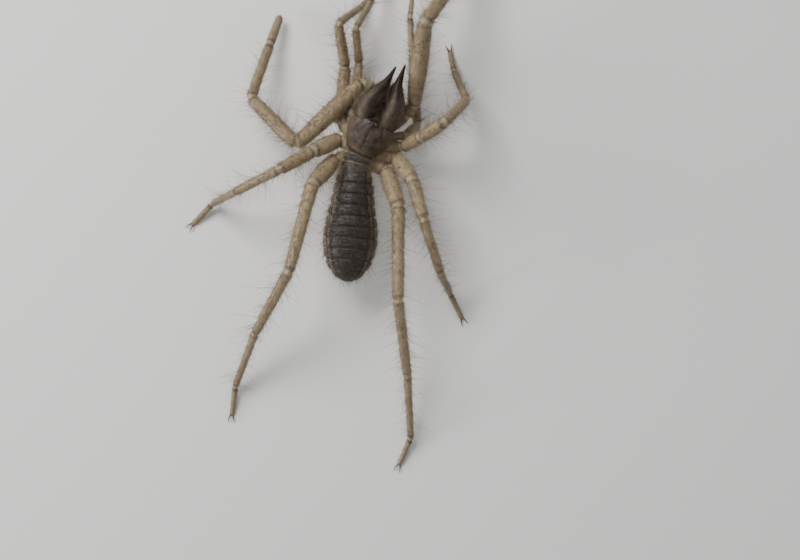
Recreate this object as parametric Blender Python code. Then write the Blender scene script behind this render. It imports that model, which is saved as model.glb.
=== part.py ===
"""Camel spider, a still life-size model standing on its legs, with its head towards +Y."""

import math
import random

import bmesh
import bpy
from mathutils import Matrix, Vector

# All the sizes below are in millimetres, and MM turns them into metres.
MM = 0.001
GAP = 0.3

# The body: the head is turned to the right about its rear end, and behind it the body bends to the waist,
# so that the abdomen's tail lies to the right too.
HEAD_PIVOT = (-3.4, 0.3)
HEAD_TURN = 11.0
NECK_LENGTH = 4.3
ABDOMEN_TURN = -10.0
ABDOMEN_LENGTH = 27.3
ABDOMEN_SEGMENTS = 10
ABDOMEN_SIDES = 22
# How far the abdomen is built forward of the waist before the waist's cut.
ABDOMEN_LEAD = 2.0
SEAM_HEIGHT = 13.0
# How many flat sides the half ring of a plate and the whole rings of the two jaws have.
PLATE_SIDES = 16
UPPER_JAW_SIDES = 16
LOWER_JAW_SIDES = 12

# Sections of the back plates: distance forward, half width, height above the seam.
PROPELTIDIUM = ((0.0, 3.9, 2.9), (2.4, 4.9, 3.6), (5.2, 5.9, 4.1), (7.6, 6.3, 4.25), (9.2, 6.1, 3.9))
MESOPELTIDIUM = ((-1.9, 3.6, 2.5), (-1.1, 4.0, 2.8), (-0.3, 3.7, 2.6))
METAPELTIDIUM = ((-6.0, 3.9, 2.8), (-4.4, 4.1, 3.0), (-2.9, 4.0, 2.9), (-2.2, 3.6, 2.6))
# Sections of the underside: distance forward, half width, depth below the seam.
UNDERSIDE = ((-7.0, 3.9, 3.5), (-3.0, 4.3, 3.7), (1.0, 4.9, 3.9), (5.5, 5.2, 3.8), (9.2, 4.6, 2.7))

# The abdomen: fraction of its length, half width, half height, height of its middle.
ABDOMEN = (
    (0.00, 3.9, 3.3, 12.7),
    (0.14, 4.7, 4.4, 12.4),
    (0.34, 5.6, 5.2, 12.0),
    (0.58, 6.6, 5.5, 11.7),
    (0.76, 6.1, 4.9, 11.5),
    (0.92, 4.0, 3.3, 11.4),
    (1.00, 1.7, 1.5, 11.3),
)
GROOVE_DEPTH = 0.42
# Where the rings of an abdomen segment stand between its grooves, and the share of the groove's depth there.
SEGMENT_RINGS = ((0.0, 1.0), (0.15, 0.25), (0.5, 0.0), (0.85, 0.2))

# The jaws: distance along the jaw, sideways offset, height, half width, half height.
# The left jaw is drawn back a little, as in life: the share of its length that it reaches forward.
JAW_REACH = {-1: 0.91, 1: 1.0}
JAW_START = 9.5
JAW_HEIGHT = 13.9
UPPER_JAW = (
    (0.0, 3.15, 0.00, 2.70, 3.40),
    (1.2, 3.25, 0.10, 3.00, 3.75),
    (3.0, 3.24, 0.15, 3.12, 3.95),
    (5.0, 3.02, 0.20, 2.90, 3.85),
    (7.0, 2.52, 0.45, 2.40, 3.30),
    (8.6, 1.98, 0.90, 1.83, 2.50),
    (10.0, 1.58, 1.20, 1.38, 1.75),
    (11.4, 1.32, 1.30, 0.98, 1.22),
    (13.2, 1.14, 1.15, 0.62, 0.80),
    (14.8, 1.02, 0.75, 0.38, 0.46),
    (15.9, 0.92, 0.30, 0.19, 0.22),
)
LOWER_JAW = (
    (5.4, 2.70, -2.35, 1.50, 1.15),
    (7.2, 2.42, -2.45, 1.50, 1.45),
    (9.0, 1.95, -2.50, 1.24, 1.25),
    (11.0, 1.52, -2.40, 0.88, 0.92),
    (12.9, 1.26, -2.05, 0.58, 0.66),
    (14.8, 1.04, -1.40, 0.25, 0.28),
)
UPPER_TEETH = (10.6, 11.7, 12.7, 13.7)
LOWER_TEETH = (10.9, 12.0, 13.1)
TOOTH_HEIGHT = 0.75
TOOTH_RADIUS = 0.38
# The outline of a tooth: how far along it, and its share of the full radius.
TOOTH_SHAPE = ((0.0, 1.0), (0.55, 0.75), (1.0, 0.2))
# A tooth starts at this share of the jaw's half height, inside the jaw.
TOOTH_ROOT = 0.55

# The eye mound at the front of the head plate, and the two eyes on its sides.
MOUND_FORWARD = 8.2
MOUND_HEIGHT = 17.1
MOUND_SIZE = (1.25, 1.05, 0.85)
EYE_RADIUS = 0.55
EYE_SPREAD = 0.85
EYE_HEIGHT = 17.45

# The limbs, from the segment after the coxa to the foot: length, then start, middle and end radius.
# A pedipalp has trochanter, femur, tibia, metatarsus and tarsus, a leg basifemur, femur and the same three.
SEGMENTS = {
    "pedipalp": (
        (3.4, (1.35, 1.50, 1.45)),
        (23.5, (1.50, 2.05, 1.60)),
        (17.0, (1.55, 1.60, 1.30)),
        (16.0, (1.25, 1.15, 1.05)),
        (8.5, (1.05, 1.05, 0.80)),
    ),
    "leg_1": (
        (6.0, (0.95, 1.05, 1.00)),
        (8.5, (1.00, 1.00, 0.90)),
        (10.0, (0.90, 0.88, 0.80)),
        (9.5, (0.78, 0.72, 0.65)),
        (7.0, (0.65, 0.62, 0.45)),
    ),
    "leg_2": (
        (7.0, (1.40, 1.60, 1.40)),
        (9.0, (1.40, 1.45, 1.25)),
        (12.5, (1.20, 1.15, 0.95)),
        (13.0, (0.92, 0.80, 0.70)),
        (6.0, (0.70, 0.65, 0.50)),
    ),
    "leg_3": (
        (10.0, (1.60, 2.00, 1.60)),
        (10.5, (1.50, 1.45, 1.20)),
        (15.0, (1.15, 1.05, 0.90)),
        (13.5, (0.88, 0.78, 0.70)),
        (8.0, (0.70, 0.65, 0.50)),
    ),
    "leg_4": (
        (12.0, (1.70, 2.05, 1.65)),
        (23.5, (1.55, 1.40, 1.20)),
        (22.0, (1.20, 1.12, 0.95)),
        (18.5, (0.92, 0.82, 0.72)),
        (8.0, (0.72, 0.66, 0.52)),
    ),
}
# Which segments make up each node of a limb, first and last.
NODES = {
    "pedipalp": (("femur", 0, 1), ("tibia", 2, 2), ("foot", 3, 4)),
    "leg_1": (("femur", 0, 1), ("tibia", 2, 2), ("foot", 3, 4)),
    "leg_2": (("basifemur", 0, 0), ("femur", 1, 1), ("tibia", 2, 2), ("foot", 3, 4)),
    "leg_3": (("basifemur", 0, 0), ("femur", 1, 1), ("tibia", 2, 2), ("foot", 3, 4)),
    "leg_4": (("basifemur", 0, 0), ("femur", 1, 1), ("tibia", 2, 2), ("foot", 3, 4)),
}
# The pose: the points of each coxa, then the heading and the pitch of each segment in degrees.
# A heading is clockwise from +Y. A pitch of None is worked out so that the foot meets the floor.
POSE = {
    "pedipalp_left": (
        ((-3.2, 5.0, 10.6), (-4.3, 11.6, 7.9), (-4.2, 17.6, 7.9)),
        ((-72, 14), (-149, 13), (-58, -10), (3, -22), (4, -17)),
    ),
    "pedipalp_right": (
        ((-1.6, 5.0, 10.6), (2.6, 9.8, 7.9), (5.4, 13.2, 8.2)),
        ((24, 18), (-6, 36), (18, -33), (-3, -22), (-20, -16)),
    ),
    "leg_1_left": (
        ((-4.4, 5.6, 10.2), (-8.4, 10.6, 9.4)),
        ((4, -40), (-9, -2), (-19, 36), (14, -20), (9, -38)),
    ),
    "leg_1_right": (
        ((-0.8, 5.2, 10.2), (6.5, 8.4, 8.7)),
        ((34, -44), (-22, 0), (-16, 26), (-17, 2), (-8, -34)),
    ),
    "leg_2_left": (
        ((-4.3, 4.2, 10.2), (-9.9, 7.2, 9.0)),
        ((-14, -32), (-8, 0), (-23, 36), (31, None), (25, -20)),
    ),
    "leg_2_right": (
        ((-1.6, 3.2, 10.4), (6.4, 5.2, 9.9)),
        ((52, 40), (48, 46), (28, -46), (-33, None), (-25, -20)),
    ),
    "leg_3_left": (
        ((-4.6, 1.9, 10.4), (-9.2, 3.4, 9.7)),
        ((-132, 40), (-136, 30), (-128, -30), (-124, None), (-148, -15)),
    ),
    "leg_3_right": (
        ((-2.0, 1.4, 10.4), (5.7, 2.1, 9.9)),
        ((131, 45), (151, 16), (148, -19), (138, None), (140, -18)),
    ),
    "leg_4_left": (
        ((-4.2, -0.4, 10.6), (-9.0, -1.7, 10.0)),
        ((-155, 43), (-180, 18), (-163, -36), (-171, None), (174, -12)),
    ),
    "leg_4_right": (
        ((-2.4, -0.2, 10.6), (3.9, -1.3, 10.0)),
        ((148, 34), (166, 10), (159, -29), (163, None), (-171, -12)),
    ),
}
STANDING = ("leg_2", "leg_3", "leg_4")
SOLE_HEIGHT = 0.2
BEND_ROOM = 1.25
COXA_SWELL = 1.1
TIP_SHRINK = 0.55
LIMB_SIDES = {"pedipalp": 10, "leg_1": 8, "leg_2": 8, "leg_3": 8, "leg_4": 8}

# Claws at the end of each walking foot.
CLAW_LENGTH = 2.2
CLAW_RADIUS = 0.3
CLAW_SPREAD = 22.0
CLAW_ARCH = 0.4
CLAW_RISE = 0.22
CLAW_HOOK = 0.15
CLAW_TAPER = 0.7
# How far a claw's root is sunk into the foot, and how far it stands from the foot's middle.
CLAW_SINK = 0.45
CLAW_OFFSET = 0.315

# Racket organs under the hind legs: place along the limb, from the coxa's start.
RACKETS = ((0, 0.45), (0, 0.80), (1, 0.22), (1, 0.45), (1, 0.70))
RACKET_DROP = 2.6
RACKET_WIDTH = 1.15
RACKET_THICK = 0.28
# The outline of a racket organ: how far down it is, and its share of the full width.
RACKET_SHAPE = ((0.0, 0.30), (0.45, 0.30), (0.75, 0.85), (1.0, 1.0))
# How far inside the limb a racket organ starts, as a share of the limb's radius.
RACKET_ROOT = 0.6

# Long bristles on the upper sides of the limbs, by segment after the coxa: how many, and how long.
BRISTLE_COUNTS = {
    "pedipalp": (0, 7, 5, 4, 0),
    "leg_1": (0, 2, 3, 2, 0),
    "leg_2": (1, 3, 4, 3, 0),
    "leg_3": (2, 3, 4, 3, 0),
    "leg_4": (2, 5, 5, 4, 0),
}
BRISTLE_LENGTHS = (5.0, 9.2, 8.5, 6.5, 3.0)
BRISTLE_VARIES = 0.2
BRISTLE_RADIUS = 0.32
# Where the bristles stand round the limb in degrees, from the segment's end back, with 90 on top, and how far
# each may be off that.
BRISTLE_TURNS = (90, 30, 135, 60, 155, 105, 15)
BRISTLE_TURN_VARIES = 10
# A bristle's tilt from the limb's direction in degrees at its root and further out, and its radius as a share.
BRISTLE_TILTS = (80.0, 62.0)
BRISTLE_SIZES = (1.0, 0.7, 0.15)
# Where a bristle starts inside the limb, as a share of its radius, and the room it leaves to other nodes.
BRISTLE_ROOT = 0.35
BRISTLE_ROOM = 0.8
BRISTLE_SEED = 5

COLOURS = {
    "head_plate": ((0.16, 0.13, 0.10), 0.45),
    "jaw": ((0.20, 0.16, 0.12), 0.40),
    "fang": ((0.02, 0.015, 0.012), 0.25),
    "eye": ((0.01, 0.01, 0.01), 0.10),
    "skin": ((0.62, 0.56, 0.44), 0.60),
    "abdomen": ((0.20, 0.18, 0.15), 0.65),
}


def clear_scene():
    for item in list(bpy.data.objects):
        bpy.data.objects.remove(item, do_unlink=True)


def make_collection(name):
    collection = bpy.data.collections.new(name)
    bpy.context.scene.collection.children.link(collection)
    return collection


def make_material(name):
    colour, roughness = COLOURS[name]
    material = bpy.data.materials.get(name) or bpy.data.materials.new(name)
    material.use_nodes = True
    shader = material.node_tree.nodes["Principled BSDF"]
    shader.inputs["Base Color"].default_value = (*colour, 1.0)
    shader.inputs["Roughness"].default_value = roughness
    shader.inputs["Metallic"].default_value = 0.0
    return material


def make_object(name, bm, finish, collection):
    mesh = bpy.data.meshes.new(name)
    bmesh.ops.recalc_face_normals(bm, faces=bm.faces)
    bm.to_mesh(mesh)
    bm.free()
    item = bpy.data.objects.new(name, mesh)
    item.data.materials.append(make_material(finish))
    collection.objects.link(item)
    mesh.shade_smooth()
    mesh.set_sharp_from_angle(angle=math.radians(50))
    return item


def loft(rings):
    """A closed body through rings with the same number of points, in millimetres."""
    bm = bmesh.new()
    rows = [[bm.verts.new(Vector(point) * MM) for point in ring] for ring in rings]
    count = len(rows[0])
    for row, following in zip(rows, rows[1:]):
        for i in range(count):
            j = (i + 1) % count
            bm.faces.new((row[i], row[j], following[j], following[i]))
    bm.faces.new(reversed(rows[0]))
    bm.faces.new(rows[-1])
    bmesh.ops.triangulate(bm, faces=bm.faces)
    return bm


def trim(bm, point, normal):
    """Cuts away what lies beyond the plane and closes the cut with one flat face."""
    everything = bm.verts[:] + bm.edges[:] + bm.faces[:]
    cut = bmesh.ops.bisect_plane(
        bm,
        geom=everything,
        dist=1e-7,
        plane_co=Vector(point) * MM,
        plane_no=normal,
        clear_outer=True,
    )
    rim = [piece for piece in cut["geom_cut"] if isinstance(piece, bmesh.types.BMEdge)]
    bmesh.ops.edgeloop_fill(bm, edges=rim)
    bmesh.ops.remove_doubles(bm, verts=bm.verts, dist=1e-6)
    bmesh.ops.triangulate(bm, faces=bm.faces)


def blend(table, place):
    """Reads a table of sections at a place along it, on straight lines between its rows."""
    for low, high in zip(table, table[1:]):
        if place <= high[0]:
            part = (place - low[0]) / (high[0] - low[0])
            return [a + (b - a) * part for a, b in zip(low[1:], high[1:])]
    return list(table[-1][1:])


def heading(degrees):
    """The level direction that is this many degrees clockwise from +Y."""
    angle = math.radians(degrees)
    return Vector((math.sin(angle), math.cos(angle), 0.0))


def turned(x, y, z, pivot, degrees):
    """A point given sideways and forward of a pivot whose forward way is turned clockwise."""
    forward = heading(degrees)
    right = Vector((forward.y, -forward.x, 0.0))
    return Vector((*pivot, 0.0)) + right * x + forward * y + Vector((0.0, 0.0, z))


def body_point(x, y, z):
    """A point of the body: straight in the head, bent along the neck, and straight in the abdomen."""
    if y >= 0:
        return turned(x, y, z, HEAD_PIVOT, HEAD_TURN)
    back = min(-y, NECK_LENGTH)
    turn = HEAD_TURN + (ABDOMEN_TURN - HEAD_TURN) * back / NECK_LENGTH
    centre = turned(0, -back, 0, HEAD_PIVOT, (HEAD_TURN + turn) / 2)
    return turned(x, y + back, z, centre.xy, turn)


def oval(place, centre, half_width, half_height, sides):
    """A ring across the body, at one place along it."""
    ring = []
    for i in range(sides):
        angle = 2 * math.pi * i / sides
        x = centre[0] + half_width * math.cos(angle)
        z = centre[1] + half_height * math.sin(angle)
        ring.append(place(x, z))
    return ring


def arch(y, half_width, height, seam, sides):
    """Half an oval that stands on a flat seam, or hangs below it when the height is negative."""
    ring = []
    for i in range(sides + 1):
        angle = math.pi * i / sides
        ring.append(body_point(half_width * math.cos(angle), y, seam + height * math.sin(angle)))
    return ring


def fuse(item, pieces):
    """Joins the pieces to the item with one Boolean union and keeps the largest body."""
    group = bpy.data.collections.new("pieces")
    bpy.context.scene.collection.children.link(group)
    for piece in pieces:
        group.objects.link(piece)
    union = item.modifiers.new("union", "BOOLEAN")
    union.operation = "UNION"
    union.operand_type = "COLLECTION"
    union.collection = group
    union.solver = "EXACT"
    apply_modifiers(item)
    for piece in pieces:
        bpy.data.objects.remove(piece, do_unlink=True)
    bpy.data.collections.remove(group)
    keep_largest(item)


def cut_out(item, cutter):
    """Takes the cutter's shape out of the item and removes the cutter."""
    difference = item.modifiers.new("cut", "BOOLEAN")
    difference.operation = "DIFFERENCE"
    difference.object = cutter
    difference.solver = "EXACT"
    apply_modifiers(item)
    bpy.data.objects.remove(cutter, do_unlink=True)
    keep_largest(item)


def apply_modifiers(item):
    bpy.context.view_layer.update()
    evaluated = item.evaluated_get(bpy.context.evaluated_depsgraph_get())
    mesh = bpy.data.meshes.new_from_object(evaluated)
    item.modifiers.clear()
    item.data = mesh


def keep_largest(item):
    """Keeps the closed surface with the most volume, and merges its doubled points."""
    bm = bmesh.new()
    bm.from_mesh(item.data)
    bmesh.ops.remove_doubles(bm, verts=bm.verts, dist=1e-6)
    bmesh.ops.dissolve_degenerate(bm, edges=bm.edges, dist=1e-6)
    bmesh.ops.triangulate(bm, faces=bm.faces)
    left = set(bm.faces)
    shells = []
    while left:
        stack = [left.pop()]
        shell = set(stack)
        while stack:
            face = stack.pop()
            for edge in face.edges:
                for other in edge.link_faces:
                    if other in left:
                        left.discard(other)
                        shell.add(other)
                        stack.append(other)
        shells.append(shell)
    shells.sort(key=shell_volume, reverse=True)
    for shell in shells[1:]:
        bmesh.ops.delete(bm, geom=list(shell), context="FACES")
    bm.to_mesh(item.data)
    bm.free()


def shell_volume(shell):
    total = 0.0
    for face in shell:
        a, b, c = [vert.co for vert in face.verts[:3]]
        total += a.dot(b.cross(c)) / 6
    return abs(total)


class Limb:
    """The route of one limb, from inside the body to its tip, with rounded knees."""

    def __init__(self, name):
        self.name = name
        self.kind = name.rsplit("_", 1)[0]
        self.sides = LIMB_SIDES[self.kind]
        coxa, angles = POSE[name]
        segments = SEGMENTS[self.kind]
        self.points = [Vector(point) for point in coxa]
        self.coxa_count = len(coxa) - 1
        first = segments[0][1][0]
        self.radii = [(first * COXA_SWELL, first * COXA_SWELL, first)] * self.coxa_count
        pitches = self.solve_pitches(angles, segments)
        for (way, _), pitch, (length, radii) in zip(angles, pitches, segments):
            level = math.cos(math.radians(pitch))
            step = heading(way) * level + Vector((0, 0, math.sin(math.radians(pitch))))
            self.points.append(self.points[-1] + step * length)
            self.radii.append(radii)

    def solve_pitches(self, angles, segments):
        """Fills in the pitch that brings the end of the foot down to the floor."""
        pitches = [pitch for _, pitch in angles]
        if None in pitches:
            free = pitches.index(None)
            known = sum(
                segment[0] * math.sin(math.radians(pitch))
                for segment, pitch in zip(segments, pitches)
                if pitch is not None
            )
            drop = SOLE_HEIGHT - self.points[-1].z - known
            pitches[free] = math.degrees(math.asin(drop / segments[free][0]))
        return pitches

    def reach(self, joint):
        """How far the bend at a joint runs into the segments that meet there."""
        before = self.points[joint] - self.points[joint - 1]
        after = self.points[joint + 1] - self.points[joint]
        half_turn = before.angle(after) / 2
        needed = BEND_ROOM * math.sin(half_turn) / math.cos(half_turn) ** 2
        radius = max(self.radii[joint][0], self.radii[joint - 1][2])
        return min(0.45 * before.length, 0.45 * after.length, max(needed, BEND_ROOM) * radius)

    def place(self, segment, part):
        """The middle and the direction of the limb at a part of a segment."""
        start, end = self.points[segment], self.points[segment + 1]
        length = (end - start).length
        way = (end - start) / length
        along = part * length
        if segment > 0 and along < self.reach(segment):
            return self.bend(segment, 0.5 + 0.5 * along / self.reach(segment))
        last = segment == len(self.points) - 2
        if not last and length - along < self.reach(segment + 1):
            return self.bend(segment + 1, 0.5 - 0.5 * (length - along) / self.reach(segment + 1))
        return start + way * along, way

    def bend(self, joint, part):
        reach = self.reach(joint)
        corner = self.points[joint]
        before = corner + (self.points[joint - 1] - corner).normalized() * reach
        after = corner + (self.points[joint + 1] - corner).normalized() * reach
        first = before.lerp(corner, part)
        second = corner.lerp(after, part)
        return first.lerp(second, part), (second - first).normalized()

    def radius(self, segment, part):
        start, middle, end = self.radii[segment]
        if segment + 1 < len(self.radii):
            end = (end + self.radii[segment + 1][0]) / 2
        if segment > 0:
            start = (start + self.radii[segment - 1][2]) / 2
        if part < 0.5:
            return start + (middle - start) * math.sin(math.pi * part)
        return end + (middle - end) * math.sin(math.pi * part)

    def ring(self, segment, part, shift=0.0, shrink=1.0):
        centre, way = self.place(segment, part)
        side = way.cross(Vector((0, 0, 1))).normalized()
        over = side.cross(way)
        radius = self.radius(segment, part) * shrink
        points = []
        for i in range(self.sides):
            angle = 2 * math.pi * (i + 0.5) / self.sides
            spoke = side * math.cos(angle) + over * math.sin(angle)
            points.append(centre + way * shift + spoke * radius)
        return points

    def stations(self, segment):
        """Where the rings of a segment go: closer together where it bends."""
        length = (self.points[segment + 1] - self.points[segment]).length
        last = segment == len(self.points) - 2
        low = self.reach(segment) / length if segment > 0 else 0.1
        high = 1 - self.reach(segment + 1) / length if not last else 0.93
        between = [low + (high - low) * k / 3 for k in range(4)]
        return [0.0, low * 0.5] + between + [(1 + high) / 2, 1.0]

    def body(self, first, last):
        """The closed body of the segments from first to last, a gap clear of its neighbours."""
        rings = []
        for segment in range(first, last + 1):
            for part in self.stations(segment):
                if segment > first and part == 0.0:
                    continue
                shift = 0.0
                if segment == first and part == 0.0:
                    shift = GAP / 2
                if segment == last and part == 1.0:
                    shift = -GAP / 2
                shrink = 1.0
                if segment == len(self.points) - 2 and part == 1.0:
                    shrink = TIP_SHRINK
                rings.append(self.ring(segment, part, shift, shrink))
        return loft(rings)


def make_claw(limb, sign, collection):
    """One claw: a curved cone that leaves the end of the foot and hooks down."""
    centre, way = limb.place(len(limb.points) - 2, 1.0)
    level = Vector((way.x, way.y, 0)).normalized()
    out = Matrix.Rotation(math.radians(CLAW_SPREAD) * sign, 3, "Z") @ level
    side = out.cross(Vector((0, 0, 1)))
    root = centre - level * CLAW_SINK - level.cross(Vector((0, 0, 1))) * sign * CLAW_OFFSET
    rings = []
    for step in range(4):
        part = step / 3
        middle = root + out * CLAW_LENGTH * part
        middle.z = centre.z + CLAW_RISE + CLAW_ARCH * math.sin(math.pi * part) - CLAW_HOOK * part
        radius = CLAW_RADIUS * (1 - CLAW_TAPER * part)
        ring = []
        for i in range(5):
            angle = 2 * math.pi * i / 5
            ring.append(middle + side * radius * math.cos(angle) + Vector((0, 0, radius * math.sin(angle))))
        rings.append(ring)
    return make_object("claw", loft(rings), "skin", collection)


def make_racket(limb, segment, part, collection):
    """One racket organ: a stalk under the limb that widens into a fan."""
    centre, way = limb.place(segment, part)
    across = way.cross(Vector((0, 0, 1))).normalized()
    level = Vector((way.x, way.y, 0)).normalized()
    top = centre - Vector((0, 0, limb.radius(segment, part) * RACKET_ROOT))
    rings = []
    for drop, width in RACKET_SHAPE:
        middle = top - Vector((0, 0, RACKET_DROP * drop))
        half = RACKET_WIDTH * width
        ring = []
        for i in range(8):
            angle = 2 * math.pi * i / 8
            ring.append(middle + across * half * math.cos(angle) + level * RACKET_THICK * math.sin(angle))
        rings.append(ring)
    return make_object("racket", loft(rings), "skin", collection)


def bristle_line(limb, segment, part, turn, length):
    """The middle line of one bristle, from inside the limb to its tip."""
    centre, way = limb.place(segment, part)
    side = way.cross(Vector((0, 0, 1))).normalized()
    out = side * math.cos(math.radians(turn)) + side.cross(way) * math.sin(math.radians(turn))
    line = [centre + out * limb.radius(segment, part) * BRISTLE_ROOT]
    for tilt in BRISTLE_TILTS:
        lean = out * math.sin(math.radians(tilt)) + way * math.cos(math.radians(tilt))
        line.append(line[-1] + lean * length / len(BRISTLE_TILTS))
    return line


def body_spots():
    """Points inside the head, the jaws and the abdomen, with the room that each of them takes up."""
    spots = [("body", body_point(0, y, SEAM_HEIGHT - 0.5), 7.0) for y in range(-30, 10, 2)]
    for along in range(0, 16, 2):
        for x in (-2.5, 2.5):
            spots.append(("body", body_point(x, JAW_START + along, JAW_HEIGHT - 0.4), 4.4))
    return spots


def limb_spots(limb):
    """Points along one limb, each with the name of its node and the room that it takes up."""
    owners = ["prosoma"] * limb.coxa_count
    for node, first, last in NODES[limb.kind]:
        owners += [f"{limb.name}_{node}"] * (last - first + 1)
    spots = []
    for segment, owner in enumerate(owners):
        for step in range(13):
            centre, _ = limb.place(segment, step / 12)
            spots.append((owner, centre, limb.radius(segment, step / 12)))
    return spots


def plan_bristles():
    """The middle lines of all bristles by node. One that would come near another node is left out."""
    draw = random.Random(BRISTLE_SEED)
    limbs = [Limb(name) for name in POSE]
    spots = body_spots()
    for limb in limbs:
        spots += limb_spots(limb)
    plan = {}
    for limb in limbs:
        for node, first, last in NODES[limb.kind]:
            owner = f"{limb.name}_{node}"
            plan[owner] = []
            for step in range(first, last + 1):
                count = BRISTLE_COUNTS[limb.kind][step]
                for k in range(count):
                    part = (k + 0.6 + draw.uniform(-0.2, 0.2)) / (count + 0.2)
                    turn = BRISTLE_TURNS[(count - 1 - k) % len(BRISTLE_TURNS)]
                    turn += draw.uniform(-BRISTLE_TURN_VARIES, BRISTLE_TURN_VARIES)
                    length = BRISTLE_LENGTHS[step] * (1 + draw.uniform(-BRISTLE_VARIES, BRISTLE_VARIES))
                    line = bristle_line(limb, step + limb.coxa_count, part, turn, length)
                    if is_clear(line, owner, spots):
                        plan[owner].append(line)
                        spots += [(owner, point, BRISTLE_RADIUS) for point in between(line)]
    return plan


def between(line):
    """Points spread along a bristle's middle line, from where it leaves the limb."""
    root, bend, tip = line
    return [root.lerp(bend, 0.6), bend, bend.lerp(tip, 0.33), bend.lerp(tip, 0.67), tip]


def is_clear(line, owner, spots):
    for point in between(line):
        for other, spot, room in spots:
            if other != owner and (point - spot).length < room + BRISTLE_RADIUS + BRISTLE_ROOM:
                return False
    return True


def make_bristle(line, collection):
    """One bristle: a bent cone of three sides."""
    way = (line[-1] - line[0]).normalized()
    across = way.orthogonal().normalized()
    over = way.cross(across)
    rings = []
    for middle, size in zip(line, BRISTLE_SIZES):
        ring = []
        for i in range(3):
            angle = 2 * math.pi * i / 3
            ring.append(middle + (across * math.cos(angle) + over * math.sin(angle)) * BRISTLE_RADIUS * size)
        rings.append(ring)
    return make_object("bristle", loft(rings), "skin", collection)


def make_limb(name, bristles, collection):
    limb = Limb(name)
    for node, first, last in NODES[limb.kind]:
        bm = limb.body(first + limb.coxa_count, last + limb.coxa_count)
        standing = limb.kind in STANDING and node == "foot"
        if standing:
            trim(bm, (0, 0, 0), (0, 0, -1))
        item = make_object(f"{name}_{node}", bm, "skin", collection)
        pieces = [make_bristle(line, collection) for line in bristles[item.name]]
        if standing:
            pieces += [make_claw(limb, sign, collection) for sign in (-1, 1)]
        if name.startswith("leg_4") and node == "basifemur":
            pieces += [make_racket(limb, *spot, collection) for spot in RACKETS if spot[0] == 1]
        if pieces:
            fuse(item, pieces)


def make_underside(collection):
    """The underside of the head and waist, with all ten coxae joined to it."""
    rings = [arch(y, width, -depth, SEAM_HEIGHT - GAP / 2, PLATE_SIDES) for y, width, depth in UNDERSIDE]
    bm = loft(rings)
    trim(bm, body_point(0, GAP / 2 - NECK_LENGTH, 0), -heading(ABDOMEN_TURN))
    item = make_object("prosoma", bm, "skin", collection)
    pieces = []
    for name in POSE:
        limb = Limb(name)
        pieces.append(make_object("coxa", limb.body(0, limb.coxa_count - 1), "skin", collection))
        if name.startswith("leg_4"):
            spots = [spot for spot in RACKETS if spot[0] == 0]
            pieces += [make_racket(limb, *spot, collection) for spot in spots]
    fuse(item, pieces)


def make_plates(collection):
    """The three plates of the back, each standing on the seam above the underside."""
    seam = SEAM_HEIGHT + GAP / 2
    bm = loft([arch(y, width, height, seam, PLATE_SIDES) for y, width, height in PROPELTIDIUM])
    plate = make_object("propeltidium", bm, "head_plate", collection)
    mound = bmesh.new()
    bmesh.ops.create_uvsphere(mound, u_segments=14, v_segments=8, radius=MM)
    bmesh.ops.scale(mound, vec=MOUND_SIZE, verts=mound.verts)
    spot = body_point(0, MOUND_FORWARD, MOUND_HEIGHT) * MM
    bmesh.ops.translate(mound, vec=spot, verts=mound.verts)
    fuse(plate, [make_object("mound", mound, "head_plate", collection)])
    for side, sign in (("left", -1), ("right", 1)):
        centre = body_point(sign * EYE_SPREAD, MOUND_FORWARD + 0.2, EYE_HEIGHT) * MM
        cut_out(plate, make_ball("socket", centre, EYE_RADIUS + GAP, "head_plate", collection))
        make_ball(f"eye_{side}", centre, EYE_RADIUS, "eye", collection)
    bm = loft([arch(y, width, height, seam, PLATE_SIDES) for y, width, height in MESOPELTIDIUM])
    make_object("mesopeltidium", bm, "skin", collection)
    bm = loft([arch(y, width, height, seam, PLATE_SIDES) for y, width, height in METAPELTIDIUM])
    trim(bm, body_point(0, GAP / 2 - NECK_LENGTH, 0), -heading(ABDOMEN_TURN))
    make_object("metapeltidium", bm, "skin", collection)


def make_ball(name, centre, radius, finish, collection):
    bm = bmesh.new()
    bmesh.ops.create_uvsphere(bm, u_segments=12, v_segments=8, radius=radius * MM)
    bmesh.ops.translate(bm, vec=centre, verts=bm.verts)
    return make_object(name, bm, finish, collection)


def make_jaw_body(table, sign, grow, sides):
    rings = []
    for along, offset, rise, width, height in table:
        centre = (sign * offset, JAW_HEIGHT + rise)

        def place(x, z, y=JAW_START + along * JAW_REACH[sign]):
            return body_point(x, y, z)

        rings.append(oval(place, centre, width + grow, height + grow, sides))
    return loft(rings)


def make_tooth(table, along, sign, up, collection):
    """One cone-shaped tooth on the biting edge of a jaw."""
    offset, rise, _, height = blend(table, along)
    root = JAW_HEIGHT + rise + up * height * TOOTH_ROOT
    reach = height * (1 - TOOTH_ROOT) + TOOTH_HEIGHT
    rings = []
    for part, size in TOOTH_SHAPE:
        centre = (sign * offset, root + up * reach * part)
        ring = []
        for i in range(6):
            angle = 2 * math.pi * i / 6
            x = centre[0] + TOOTH_RADIUS * size * math.cos(angle)
            y = JAW_START + along * JAW_REACH[sign] + TOOTH_RADIUS * size * math.sin(angle)
            ring.append(body_point(x, y, centre[1]))
        rings.append(ring)
    return make_object("tooth", loft(rings), "fang", collection)


def make_jaws(collection):
    for side, sign in (("left", -1), ("right", 1)):
        upper = make_object(
            f"chelicera_{side}", make_jaw_body(UPPER_JAW, sign, 0.0, UPPER_JAW_SIDES), "jaw", collection
        )
        lower = make_object(
            f"movable_finger_{side}", make_jaw_body(LOWER_JAW, sign, 0.0, LOWER_JAW_SIDES), "fang", collection
        )
        clear = make_jaw_body(UPPER_JAW, sign, GAP, UPPER_JAW_SIDES)
        cutter = make_object("cutter", clear, "jaw", collection)
        cut_out(lower, cutter)
        fuse(upper, [make_tooth(UPPER_JAW, along, sign, -1, collection) for along in UPPER_TEETH])
        fuse(lower, [make_tooth(LOWER_JAW, along, sign, 1, collection) for along in LOWER_TEETH])


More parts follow.
